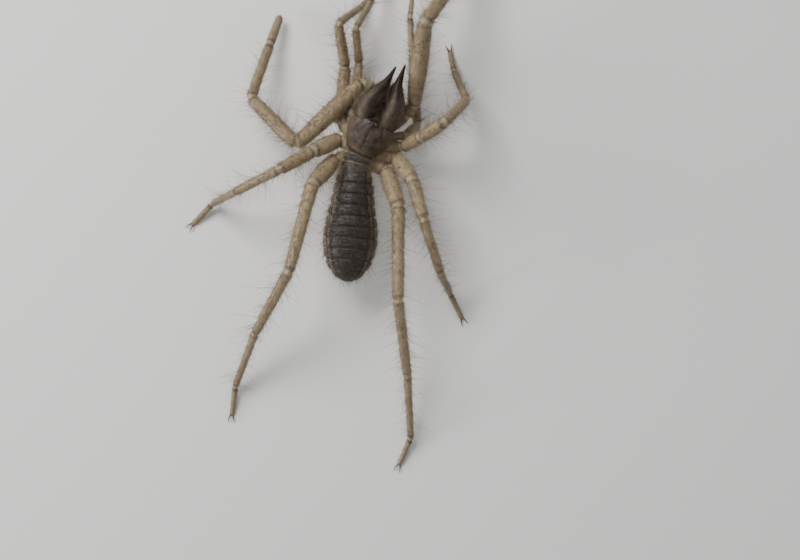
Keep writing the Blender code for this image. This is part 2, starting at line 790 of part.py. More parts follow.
def make_abdomen(collection):
    """The abdomen: one body with a groove between each of its segments."""
    stations = [
        ((segment + part) / ABDOMEN_SEGMENTS, depth * GROOVE_DEPTH)
        for segment in range(ABDOMEN_SEGMENTS)
        for part, depth in SEGMENT_RINGS
    ]
    stations[0] = (0.0, 0.0)
    stations.append((1.0, 0.0))
    rings = []
    for part, pinch in stations:
        width, height, middle = blend(ABDOMEN, part)

        def place(x, z, y=-NECK_LENGTH - ABDOMEN_LENGTH * part):
            return body_point(x, y, z)

        rings.append(oval(place, (0, middle), width - pinch, height - pinch, ABDOMEN_SIDES))
    front = [point + heading(ABDOMEN_TURN) * ABDOMEN_LEAD for point in rings[0]]
    bm = loft([front] + rings)
    trim(bm, body_point(0, -GAP / 2 - NECK_LENGTH, 0), heading(ABDOMEN_TURN))
    make_object("abdomen", bm, "abdomen", collection)


def centre_over_floor(collection):
    """Moves the model so that the middle of its outline on the floor is at the origin."""
    corners = [item.matrix_world @ vert.co for item in collection.objects for vert in item.data.vertices]
    low = Vector([min(corner[k] for corner in corners) for k in range(3)])
    high = Vector([max(corner[k] for corner in corners) for k in range(3)])
    shift = Vector((-(low.x + high.x) / 2, -(low.y + high.y) / 2, -low.z))
    for item in collection.objects:
        item.data.transform(Matrix.Translation(shift))


def main():
    clear_scene()
    collection = make_collection("camel_spider")
    make_underside(collection)
    make_plates(collection)
    make_jaws(collection)
    make_abdomen(collection)
    bristles = plan_bristles()
    for name in POSE:
        make_limb(name, bristles, collection)
    centre_over_floor(collection)


main()
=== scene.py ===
"""The looks of the camel spider model: its skin, plates, jaws and hair, on a plain stage."""

import math

import bpy
import numpy as np
from bpy.props import FloatProperty, FloatVectorProperty, IntProperty, PointerProperty
from mathutils import Matrix, Vector
from mathutils.bvhtree import BVHTree
from mathutils.kdtree import KDTree


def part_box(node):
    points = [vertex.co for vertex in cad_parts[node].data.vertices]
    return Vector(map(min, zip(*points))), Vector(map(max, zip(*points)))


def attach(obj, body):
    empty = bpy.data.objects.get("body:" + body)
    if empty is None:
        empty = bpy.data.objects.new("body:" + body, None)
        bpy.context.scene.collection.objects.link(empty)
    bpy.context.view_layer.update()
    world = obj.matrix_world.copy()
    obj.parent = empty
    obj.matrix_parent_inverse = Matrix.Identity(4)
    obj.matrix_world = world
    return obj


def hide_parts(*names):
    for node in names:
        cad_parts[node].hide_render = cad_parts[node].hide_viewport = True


bl_info = {
    "name": "Camel Spider",
    "version": (1, 0, 0),
    "blender": (4, 5, 0),
    "location": "View3D > Sidebar > Camel Spider",
    "description": "Builds the skin, plates, jaws, claws and hair of a still camel spider",
    "category": "Object",
}

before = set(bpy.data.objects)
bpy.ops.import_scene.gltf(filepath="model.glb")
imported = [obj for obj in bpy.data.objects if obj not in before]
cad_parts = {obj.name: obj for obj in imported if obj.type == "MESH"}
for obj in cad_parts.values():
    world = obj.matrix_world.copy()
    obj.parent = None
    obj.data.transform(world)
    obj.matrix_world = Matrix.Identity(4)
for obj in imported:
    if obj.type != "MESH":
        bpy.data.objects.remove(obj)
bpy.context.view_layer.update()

# All the sizes below are in millimetres, and MM turns them into metres.
MM = 0.001
UP = np.array((0.0, 0.0, 1.0))

# The body: the head is turned to the right about its rear end, and behind it the body bends to the
# waist, so that the abdomen's tail lies to the right too.
HEAD_PIVOT = (-3.4, 0.3)
HEAD_TURN = 11.0
NECK_LENGTH = 4.3
ABDOMEN_TURN = -10.0
ABDOMEN_LENGTH = 27.3
ABDOMEN_SEGMENTS = 10
ABDOMEN_LEAD = 2.0
SEAM_HEIGHT = 13.0
# The middle of the left eye before the model was centred over the floor.
LEFT_EYE = (-0.85, 8.4, 17.45)

# Sections of the head shield: distance forward, half width, height above the seam.
HEAD_SHIELD = (
    (0.0, 3.9, 2.9),
    (2.4, 4.9, 3.6),
    (5.2, 5.9, 4.1),
    (7.6, 6.3, 4.25),
    (9.3, 6.1, 3.9),
)
# Sections of the soft body: distance forward, half width, height above and depth below the seam.
TRUNK = (
    (-7.8, 3.3, 2.3, 2.9),
    (-6.4, 3.7, 2.7, 3.3),
    (-4.6, 4.05, 2.95, 3.6),
    (-3.3, 4.1, 2.95, 3.7),
    (-2.2, 3.8, 2.75, 3.7),
    (-1.1, 3.95, 2.8, 3.8),
    (0.0, 3.7, 2.6, 3.85),
    (2.4, 4.6, 3.2, 3.9),
    (5.5, 5.4, 3.6, 3.8),
    (7.4, 5.2, 3.6, 3.4),
    (8.9, 4.9, 3.3, 3.0),
    (10.8, 3.6, 2.3, 2.4),
    (13.0, 1.7, 1.3, 1.5),
    (16.5, 0.6, 0.7, 1.0),
)
# Grooves between the plates behind the head: distance forward and depth.
TRUNK_GROOVES = ((-2.05, 0.42), (-0.15, 0.5), (-4.3, 0.30))
TRUNK_GROOVE_REACH = 0.22
# How far from its ends the trunk begins to close.
TRUNK_FRONT = 1.6
TRUNK_REAR = 2.2
# Rings along the trunk and points around it.
TRUNK_GRID = (110, 72)

# The abdomen: fraction of its length, half width, half height, height of its middle.
ABDOMEN = (
    (0.00, 3.9, 3.3, 12.7),
    (0.14, 4.7, 4.4, 12.4),
    (0.34, 5.6, 5.2, 12.0),
    (0.58, 6.6, 5.5, 11.7),
    (0.76, 6.1, 4.9, 11.5),
    (0.92, 4.0, 3.3, 11.4),
    (1.00, 1.7, 1.5, 11.3),
)
ABDOMEN_GRID = (290, 112)
ABDOMEN_LEAD_RINGS = 8
# Its relief: the groove at a ring's edge and the hollow beside it, how far a plate stands over the
# next, the folds of the flanks, the pits of the plates, and the furrow and line along each side.
RING_GROOVE = 0.26
RING_HOLLOW = 0.14
PLATE_OVERLAP = 0.10
FLANK_FOLD = 0.15
PLATE_PIT = 0.035
SIDE_FURROW = 0.14
SIDE_LINE = 0.16
# How dark its flanks are, how much darker its plates and its back, and how much paler its belly.
FLANK_TONE = 0.80
PLATE_TONE = 0.15
BACK_TONE = 0.14
BELLY_TONE = 0.36

# The left jaw is drawn back a little, as in life: the share of its length that it reaches forward.
JAW_REACH = {-1: 0.91, 1: 1.0}
JAW_START = 9.5
JAW_HEIGHT = 13.9
# Rings along the shaft and along the tip, which is this long, and points around them.
JAW_GRID = (96, 14, 48)
JAW_TIP = 0.6
JAW_KEEL = 0.22
JAW_DENT = 0.20
JAW_TONE = 0.64
# The jaws: distance along the jaw, sideways offset, height, half width, half height.
UPPER_JAW = (
    (-1.6, 2.72, -0.15, 2.35, 2.90),
    (-0.6, 2.86, -0.05, 2.62, 3.20),
    (0.0, 2.96, 0.00, 2.80, 3.40),
    (1.2, 3.14, 0.10, 3.04, 3.75),
    (3.0, 3.24, 0.15, 3.12, 3.95),
    (5.0, 3.02, 0.20, 2.90, 3.85),
    (7.0, 2.52, 0.45, 2.40, 3.30),
    (8.6, 1.98, 0.90, 1.83, 2.50),
    (10.0, 1.58, 1.20, 1.38, 1.75),
    (11.4, 1.32, 1.30, 0.98, 1.22),
    (13.2, 1.14, 1.15, 0.62, 0.80),
    (14.8, 1.02, 0.75, 0.38, 0.46),
    (15.9, 0.92, 0.30, 0.19, 0.22),
)
LOWER_JAW = (
    (5.4, 2.70, -2.35, 1.50, 1.15),
    (7.2, 2.42, -2.45, 1.50, 1.45),
    (9.0, 1.95, -2.50, 1.24, 1.25),
    (11.0, 1.52, -2.40, 0.88, 0.92),
    (12.9, 1.26, -2.05, 0.58, 0.66),
    (14.8, 1.04, -1.40, 0.22, 0.25),
)
# Teeth along a jaw: distance along it, height and radius.
UPPER_TEETH = (
    (8.9, 0.55, 0.26),
    (9.6, 0.8, 0.34),
    (10.6, 1.05, 0.4),
    (11.6, 0.65, 0.27),
    (12.3, 0.95, 0.36),
    (13.3, 0.7, 0.26),
)
LOWER_TEETH = ((9.6, 0.6, 0.27), (10.7, 0.95, 0.38), (11.8, 0.55, 0.25), (12.6, 0.8, 0.3))
TOOTH_RINGS = 7
TOOTH_SIDES = 10

# The head shield reaches this far past its first and last section, and stands this high over the
# trunk's seam.
SHIELD_REAR = 0.05
SHIELD_FRONT = 0.25
SHIELD_LIFT = 0.1
# Rings along it, and steps around it over and under the seam.
SHIELD_GRID = (110, 80, 16)
# Depths of its middle groove, of the grooves beside its lobes, of its cross seam and of its dents.
MIDDLE_GROOVE = 0.15
LOBE_GROOVE = 0.20
SHIELD_SEAM = 0.07
SHIELD_DENT = 0.05
SHIELD_TONE = 0.72
# The eye mound at its front.
MOUND_FORWARD = 8.2
MOUND_RISE = 0.85
MOUND_REACH = 1.5
EYE_RADIUS = 0.55

# The limbs, from the segment after the coxa to the foot: length, then start, middle and end radius.
# A pedipalp has trochanter, femur, tibia, metatarsus and tarsus, and a leg has basifemur, femur and
# the same three.
SEGMENTS = {
    "pedipalp": (
        (3.4, (1.35, 1.50, 1.45)),
        (23.5, (1.50, 2.05, 1.60)),
        (17.0, (1.55, 1.60, 1.30)),
        (16.0, (1.25, 1.15, 1.05)),
        (8.5, (1.05, 1.05, 0.80)),
    ),
    "leg_1": (
        (6.0, (0.95, 1.05, 1.00)),
        (8.5, (1.00, 1.00, 0.90)),
        (10.0, (0.90, 0.88, 0.80)),
        (9.5, (0.78, 0.72, 0.65)),
        (7.0, (0.65, 0.62, 0.45)),
    ),
    "leg_2": (
        (7.0, (1.40, 1.60, 1.40)),
        (9.0, (1.40, 1.45, 1.25)),
        (12.5, (1.20, 1.15, 0.95)),
        (13.0, (0.92, 0.80, 0.70)),
        (6.0, (0.70, 0.65, 0.50)),
    ),
    "leg_3": (
        (10.0, (1.60, 2.00, 1.60)),
        (10.5, (1.50, 1.45, 1.20)),
        (15.0, (1.15, 1.05, 0.90)),
        (13.5, (0.88, 0.78, 0.70)),
        (8.0, (0.70, 0.65, 0.50)),
    ),
    "leg_4": (
        (12.0, (1.70, 2.05, 1.65)),
        (23.5, (1.55, 1.40, 1.20)),
        (22.0, (1.20, 1.12, 0.95)),
        (18.5, (0.92, 0.82, 0.72)),
        (8.0, (0.72, 0.66, 0.52)),
    ),
}
# The nodes of the frame that each kind of limb stands for.
LIMB_NODES = {
    "pedipalp": ("femur", "tibia", "foot"),
    "leg_1": ("femur", "tibia", "foot"),
    "leg_2": ("basifemur", "femur", "tibia", "foot"),
    "leg_3": ("basifemur", "femur", "tibia", "foot"),
    "leg_4": ("basifemur", "femur", "tibia", "foot"),
}
# The pose: the points of each coxa, then the heading and the pitch of each segment in degrees.
# A heading is clockwise from +Y. A pitch of None is worked out so that the foot meets the floor.
POSE = {
    "pedipalp_left": (
        ((-3.2, 5.0, 10.6), (-4.3, 11.6, 7.9), (-4.2, 17.6, 7.9)),
        ((-72, 14), (-149, 13), (-58, -10), (3, -22), (4, -17)),
    ),
    "pedipalp_right": (
        ((-1.6, 5.0, 10.6), (2.6, 9.8, 7.9), (5.4, 13.2, 8.2)),
        ((24, 18), (-6, 36), (18, -33), (-3, -22), (-20, -16)),
    ),
    "leg_1_left": (
        ((-4.4, 5.6, 10.2), (-8.4, 10.6, 9.4)),
        ((4, -40), (-9, -2), (-19, 36), (14, -20), (9, -38)),
    ),
    "leg_1_right": (
        ((-0.8, 5.2, 10.2), (6.5, 8.4, 8.7)),
        ((34, -44), (-22, 0), (-16, 26), (-17, 2), (-8, -34)),
    ),
    "leg_2_left": (
        ((-4.3, 4.2, 10.2), (-9.9, 7.2, 9.0)),
        ((-14, -32), (-8, 0), (-23, 36), (31, None), (25, -20)),
    ),
    "leg_2_right": (
        ((-1.6, 3.2, 10.4), (6.4, 5.2, 9.9)),
        ((52, 40), (48, 46), (28, -46), (-33, None), (-25, -20)),
    ),
    "leg_3_left": (
        ((-4.6, 1.9, 10.4), (-9.2, 3.4, 9.7)),
        ((-132, 40), (-136, 30), (-128, -30), (-124, None), (-148, -15)),
    ),
    "leg_3_right": (
        ((-2.0, 1.4, 10.4), (5.7, 2.1, 9.9)),
        ((131, 45), (151, 16), (148, -19), (138, None), (140, -18)),
    ),
    "leg_4_left": (
        ((-4.2, -0.4, 10.6), (-9.0, -1.7, 10.0)),
        ((-155, 43), (-180, 18), (-163, -36), (-171, None), (174, -12)),
    ),
    "leg_4_right": (
        ((-2.4, -0.2, 10.6), (3.9, -1.3, 10.0)),
        ((148, 34), (166, 10), (159, -29), (163, None), (-171, -12)),
    ),
}
STANDING = ("leg_2", "leg_3", "leg_4")
SOLE_HEIGHT = 0.2
BEND_ROOM = 1.25
LIMB_SIDES = {"pedipalp": 28, "leg_1": 18, "leg_2": 22, "leg_3": 24, "leg_4": 24}
RING_STEP = 0.3
# A distance to a joint that stands for no joint at all.
NO_JOINT = 99.0
# How thick a coxa is against the segment after it, and how strongly its own knees show.
COXA_SWELL = 1.1
COXA_KNEE = 0.6
# Shares of a limb's radius: what it gains beside a knee and what it loses at it.
KNEE_SWELL = 0.075
KNEE_PINCH = 0.17
TIP_BLUNTNESS = 1.15
MEMBRANE_REACH = 0.36
# Steps along a limb count from 0 for the coxa to this one for the foot.
FOOT_STEP = 5
# How dark each step of a limb is, and how speckled.
LIMB_TONES = (0.08, 0.08, 0.10, 0.14, 0.22, 0.34)
LIMB_SPECKLES = (0.25, 0.5, 0.85, 0.45, 0.2, 0.05)
# How much darker a limb is beside a knee, and along its top.
KNEE_RIM = 0.46
TOP_TONE = 0.10
# Dark spots of skin and hair: how many of the skin's cells, at full speckle, and how much darker.
SPOT_SHARE = 0.045
SPOT_DEPTH = 0.6
SPOT_SEED = 11

# The claws: they start a little inside the foot and curl outward, arch up and fall to their points.
CLAW_LENGTH = 2.3
CLAW_RADIUS = 0.2
CLAW_POINT = 0.015
CLAW_SPREAD = 22.0
CLAW_INSET = 0.35
CLAW_INWARD = 0.28
CLAW_CURL = 0.35
CLAW_RISE = 0.2
CLAW_ARCH = 0.42
CLAW_FALL = 0.28
CLAW_RINGS = 12
CLAW_SIDES = 10

# Racket organs under the hind legs: segment from the coxa, and place along it.
RACKETS = ((0, 0.45), (0, 0.80), (1, 0.22), (1, 0.45), (1, 0.70))
RACKET_DROP = 2.6
RACKET_WIDTH = 1.1
RACKET_RINGS = 24
RACKET_SIDES = 20

# A hair: the points around it, its radius at the root, how near the floor its points may come, how
# wide its patch of the UV map is, and how far a root may lie from the open skin.
HAIR_SIDES = 3
HAIR_RADIUS = 0.022
HAIR_FLOOR = 0.04
HAIR_PATCH = 0.003
ROOT_CLEARANCE = 0.05
# How thick the hair of each kind stands at each step along a limb, and how long it is there.
GROWTH = {
    "short": {kind: (0.5, 0.8, 1.0, 1.0, 1.0, 1.1) for kind in SEGMENTS},
    "middle": {kind: (0.3, 0.8, 1.0, 1.1, 1.0, 0.5) for kind in SEGMENTS},
    "long": {
        "pedipalp": (0.0, 0.3, 0.9, 1.3, 1.1, 0.2),
        "leg_1": (0.0, 0.4, 1.0, 1.3, 0.9, 0.1),
        "leg_2": (0.0, 0.5, 1.0, 1.3, 0.8, 0.1),
        "leg_3": (0.0, 0.6, 1.0, 1.2, 0.8, 0.1),
        "leg_4": (0.0, 0.6, 1.0, 1.2, 0.8, 0.1),
    },
}
LENGTHS = {
    "short": (0.7, 0.9, 1.1, 1.1, 0.9, 0.6),
    "middle": (1.6, 2.3, 3.0, 3.2, 2.6, 1.3),
    "long": (3.0, 5.0, 7.5, 8.0, 6.5, 3.0),
}
# The hairs of a limb: the spreads of their length and their radius, of their lift in radians at the
# root and at the tip, then their sway, their sections and how much browner they may be than skin.
LIMB_HAIRS = {
    "short": (((0.6, 1.3), (0.8, 1.15), (0.45, 0.85), (0.15, 0.4)), 0.22, 2, 0.0),
    "middle": (((0.5, 1.25), (1.1, 1.5), (0.8, 1.35), (0.45, 1.0)), 0.3, 3, 0.5),
    "long": (((0.55, 1.2), (1.5, 2.1), (1.15, 1.6), (0.7, 1.35)), 0.35, 5, 1.0),
}
# Fields of hair on the body and the head: hairs to a square millimetre, shortest and longest
# length, lift at the root and at the tip, and sections. The first number holds for a coat whose
# limbs have this many short hairs to a square millimetre.
FIELD_DENSITY = 12
BODY_HAIRS = (
    (8.0, 0.6, 1.4, 0.55, 0.2, 2),
    (1.2, 1.8, 3.4, 0.8, 0.5, 3),
    (0.16, 3.5, 6.0, 1.2, 0.8, 4),
)
SHIELD_HAIRS = ((1.6, 0.35, 0.9, 0.7, 0.4, 2), (0.22, 1.2, 2.6, 1.2, 0.9, 3))
UPPER_JAW_HAIRS = (
    (4.0, 0.6, 1.5, 0.6, 0.25, 2),
    (1.2, 1.6, 3.4, 0.85, 0.45, 3),
    (0.12, 3.5, 5.5, 1.1, 0.7, 4),
)
LOWER_JAW_HAIRS = ((2.0, 0.6, 1.4, 0.6, 0.3, 2), (0.6, 1.5, 2.8, 0.8, 0.5, 3))
# The spreads of both lifts in all the fields, and of the radius in those of the body and of the
# head, each with its sway.
FIELD_LIFTS = ((0.8, 1.2), (0.7, 1.3))
BODY_PLAN = ((0.9, 1.3), 0.3)
HEAD_PLAN = ((0.9, 1.4), 0.25)
# What is added to the coat's seed for the coats after those of the limbs.
BODY_SEED = 20
HEAD_SEED = 40
SPINE_SEED = 50

# Stout spines under the limbs: pairs to each step, then their length, radius, lifts, sway and
# sections.
SPINES = {
    "pedipalp": (0, 0, 5, 7, 6, 0),
    "leg_2": (0, 0, 0, 3, 4, 3),
    "leg_3": (0, 0, 0, 4, 5, 3),
    "leg_4": (0, 0, 2, 6, 6, 4),
}
SPINE_LENGTH = 1.9
SPINE_RADIUS = 0.07
SPINE_LIFTS = (1.0, 0.55)
SPINE_SWAY = 0.06
SPINE_SECTIONS = 4

# Grain: the shares of its scale for cells, noise, blotches and spots, and the depth of its bumps.
# A finish has the scale and the strength of its grain, and how uneven the blotches make its tone.
GRAIN_SHARES = (1.0, 2.5, 0.12, 0.30)
GRAIN_DEPTH = 0.06
HIDE_GRAIN = (4200.0, 0.5)
HIDE_UNEVEN = 0.55
HIDE_FINISH = {"Roughness": 0.52, "Sheen Weight": 0.3, "Sheen Roughness": 0.4}
PLATE_GRAIN = (3200.0, 0.35)
PLATE_UNEVEN = 0.8
PLATE_FINISH = {"Roughness": 0.48, "Specular IOR Level": 0.3}
JAW_GRAIN = (3600.0, 0.3)
JAW_UNEVEN = 0.6
JAW_ROUGHNESS = 0.52
HORN_ROUGHNESS = 0.30
JAW_FINISH = {"Specular IOR Level": 0.3}
HAIR_FINISH = {"Roughness": 0.42, "Specular IOR Level": 0.35}
# Plain finishes: their colour or the name of a colour that the user sets, roughness and clear coat.
PLAIN_FINISHES = {
    "bristle": ((0.16, 0.09, 0.05), 0.4, 0.0),
    "claw": ((0.10, 0.05, 0.03), 0.3, 0.0),
    "racket": ("membrane", 0.55, 0.0),
    "eye_gloss": ("eye", 0.08, 1.0),
    "floor": ("floor", 0.85, 0.0),
}

# The camera over the animal, in the frame that the pose is given in, its turn and its angle of
# view, in degrees.
CAMERA_OVER = (14.05, -27.42)
CAMERA_HEIGHT = 464.0
CAMERA_TURN = 14.0
CAMERA_VIEW = 25.0
SENSOR = 36.0
# The stage: the places and sizes of its lights in metres, and what they point at.
KEY_LIGHT = ((-0.28, 0.22, 0.42), 0.28)
RIM_LIGHT = ((-0.52, -0.26, 0.17), 0.20)
LIGHT_TARGET = (0.0, 0.0, 0.01)
SKY_STRENGTH = 0.55
SKY_COLOUR = (0.88, 0.90, 0.93)
FLOOR_WIDTH = 6.0
FLOOR_DROP = 0.02


def flat_way(degrees):
    """The level direction that is this many degrees clockwise from +Y."""
    angle = math.radians(degrees)
    return np.array((math.sin(angle), math.cos(angle), 0.0))


def body_points(x, y, z):
    """Points of the body, which is straight in the head and the abdomen and bent between them."""
    x, y, z = np.broadcast_arrays(*(np.asarray(value, float) for value in (x, y, z)))
    back = np.clip(-y, 0, NECK_LENGTH)
    turn = np.radians(HEAD_TURN + (ABDOMEN_TURN - HEAD_TURN) * back / NECK_LENGTH)
    chord = (math.radians(HEAD_TURN) + turn) / 2
    ahead = y + back
    return np.stack(
        (
            HEAD_PIVOT[0] - back * np.sin(chord) + x * np.cos(turn) + ahead * np.sin(turn),
            HEAD_PIVOT[1] - back * np.cos(chord) - x * np.sin(turn) + ahead * np.cos(turn),
            z,
        ),
        axis=-1,
    )


def frame_shift():
    """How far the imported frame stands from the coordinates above, read from the left eye."""
    low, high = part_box("eye_left")
    middle = np.array((low + high) / 2) / MM
    shift = middle - body_points(*LEFT_EYE)
    shift[2] = 0.0
    return shift


SHIFT = frame_shift()


def eased(table, places):
    """Each column of a table of sections at the places, on a smooth curve through its rows."""
    rows = np.array(table, float)
    x, y = rows[:, 0], rows[:, 1:]
    slopes = np.gradient(y, x, axis=0)
    places = np.asarray(places, float)
    k = np.clip(np.searchsorted(x, places, side="right") - 1, 0, len(x) - 2)
    span = (x[k + 1] - x[k])[:, None]
    t = np.clip((places[:, None] - x[k][:, None]) / span, 0, 1)
    start = (2 * t**3 - 3 * t**2 + 1) * y[k] + (t**3 - 2 * t**2 + t) * span * slopes[k]
    end = (3 * t**2 - 2 * t**3) * y[k + 1] + (t**3 - t**2) * span * slopes[k + 1]
    return start + end


def columns(table, places):
    """Each column of a table of sections at the places, as a column of one value to a ring."""
    return [column[:, None] for column in eased(table, places).T]


def hump(value, middle, reach):
    """One at the middle, and nothing past a few times the reach."""
    return np.exp(-(((np.asarray(value, float) - middle) / reach) ** 2))


def rising(value, low, high):
    """Nothing below the low value, one above the high one, and smooth between."""
    t = np.clip((np.asarray(value, float) - low) / (high - low), 0, 1)
    return t * t * (3 - 2 * t)


def unit(vectors):
    return vectors / np.maximum(np.linalg.norm(vectors, axis=-1, keepdims=True), 1e-9)


def levelled(way):
    """The level direction nearest to the way."""
    return unit(np.array((way[0], way[1], 0.0)))


def circle(sides, shift=0.0):
    """The angles of the points around a ring."""
    return 2 * np.pi * (np.arange(sides) + shift) / sides


def spokes(side, over, angles):
    """The arrows from the middle of a ring to its points, for one ring or many."""
    cos, sin = np.cos(angles)[:, None], np.sin(angles)[:, None]
    return side[..., None, :] * cos + over[..., None, :] * sin


def marked(soft, dark, speckle):
    """The marks of each point, from grids or single values."""
    return np.stack(np.broadcast_arrays(soft, dark, speckle), axis=-1)


class Form:
    """Rings of points along a closed form, with the marks that its skin and hair share.

    The marks of a point are how soft it is, or how horny on a jaw, how dark and how speckled."""

    def __init__(self, points, marks, growth):
        self.points = points
        self.marks = np.broadcast_to(marks, points.shape).astype(float)
        self.growth = np.broadcast_to(growth, points.shape[:2]).astype(float)

    def normals(self):
        """The outward direction at each point, and the direction along the form."""
        along = np.gradient(self.points, axis=0)
        around = (np.roll(self.points, -1, axis=1) - np.roll(self.points, 1, axis=1)) / 2
        out = np.cross(around, along)
        middle = self.points.mean(axis=1, keepdims=True)
        if np.sum(out * (self.points - middle)) < 0:
            out = -out
        return unit(out), unit(along)

    def faces(self):
        """The quads between the rings and the triangles that close both ends."""
        rings, sides = self.points.shape[:2]
        i = np.arange(rings - 1)[:, None] * sides
        j = np.arange(sides)[None, :]
        k = (j + 1) % sides
        quads = np.stack((i + j, i + k, i + sides + k, i + sides + j), axis=-1).reshape(-1, 4)
        start, end = rings * sides, rings * sides + 1
        side, following = np.arange(sides), (np.arange(sides) + 1) % sides
        last = (rings - 1) * sides
        low = np.stack((following, side, np.full(sides, start)), axis=-1)
        high = np.stack((last + side, last + following, np.full(sides, end)), axis=-1)
        return quads, np.concatenate((low, high))

    def make(self, name, material):
        """The form as a closed mesh object."""
        ends = np.stack((self.points[0].mean(axis=0), self.points[-1].mean(axis=0)))
        end_marks = np.stack((self.marks[0].mean(axis=0), self.marks[-1].mean(axis=0)))
        points = np.concatenate((self.points.reshape(-1, 3), ends))
        marks = np.concatenate((self.marks.reshape(-1, 3), end_marks))
        quads, corners = self.faces()
        return make_mesh(name, points, quads, corners, marks, material)


def make_mesh(name, points, quads, corners, marks, material):
    """A mesh object from points in millimetres, quads, triangles, and the marks of the points."""
    mesh = bpy.data.meshes.new(name)
    mesh.vertices.add(len(points))
    mesh.vertices.foreach_set("co", ((points + SHIFT) * MM).astype(np.float32).ravel())
    mesh.loops.add(quads.size + corners.size)
    order = np.concatenate((quads.ravel(), corners.ravel()))
    mesh.loops.foreach_set("vertex_index", order.astype(np.int32))
    mesh.polygons.add(len(quads) + len(corners))
    starts = np.concatenate((np.arange(len(quads)) * 4, quads.size + np.arange(len(corners)) * 3))
    mesh.polygons.foreach_set("loop_start", starts.astype(np.int32))
    mesh.update(calc_edges=True)
    layer = mesh.attributes.new("marks", "FLOAT_VECTOR", "POINT")
    layer.data.foreach_set("vector", marks.astype(np.float32).ravel())
    mesh.shade_smooth()
    mesh.materials.append(material)
    item = bpy.data.objects.new(name, mesh)
    bpy.context.scene.collection.objects.link(item)
    if mesh_volume(mesh) < 0:
        mesh.flip_normals()
    return item


def copy_marks(item, forms):
    """Gives each point of the mesh the marks of the nearest point of the forms it was made of."""
    points = np.concatenate([form.points.reshape(-1, 3) for form in forms])
    marks = np.concatenate([form.marks.reshape(-1, 3) for form in forms])
    places = (points + SHIFT) * MM
    tree = KDTree(len(places))
    for i, place in enumerate(places):
        tree.insert(place, i)
    tree.balance()
    nearest = [tree.find(vertex.co)[1] for vertex in item.data.vertices]
    layer = item.data.attributes["marks"]
    layer.data.foreach_set("vector", marks[nearest].astype(np.float32).ravel())


def mesh_volume(mesh):
    """The volume inside the mesh, below nothing where its faces point inward."""
    mesh.calc_loop_triangles()
    corners = np.zeros(len(mesh.loop_triangles) * 3, np.int32)
    mesh.loop_triangles.foreach_get("vertices", corners)
    points = np.zeros(len(mesh.vertices) * 3, np.float32)
    mesh.vertices.foreach_get("co", points)
    a, b, c = points.reshape(-1, 3)[corners].reshape(-1, 3, 3).transpose(1, 0, 2)
    return float(np.sum(a * np.cross(b, c)) / 6)


def pick(item):
    """Makes one object the only selected and active one."""
    bpy.ops.object.select_all(action="DESELECT")
    item.select_set(True)
    bpy.context.view_layer.objects.active = item


def join(name, items):
    """Joins the objects into one of that name."""
    pick(items[0])
    for item in items:
        item.select_set(True)
    if len(items) > 1:
        bpy.ops.object.join()
    items[0].name = name
    items[0].data.name = name
    return items[0]


def finish_piece(item, slot, *nodes):
    """The piece rides on the model and stands for the nodes, which it hides. The slot is not used.
    """
    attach(item, "root")
    if nodes:
        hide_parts(*nodes)


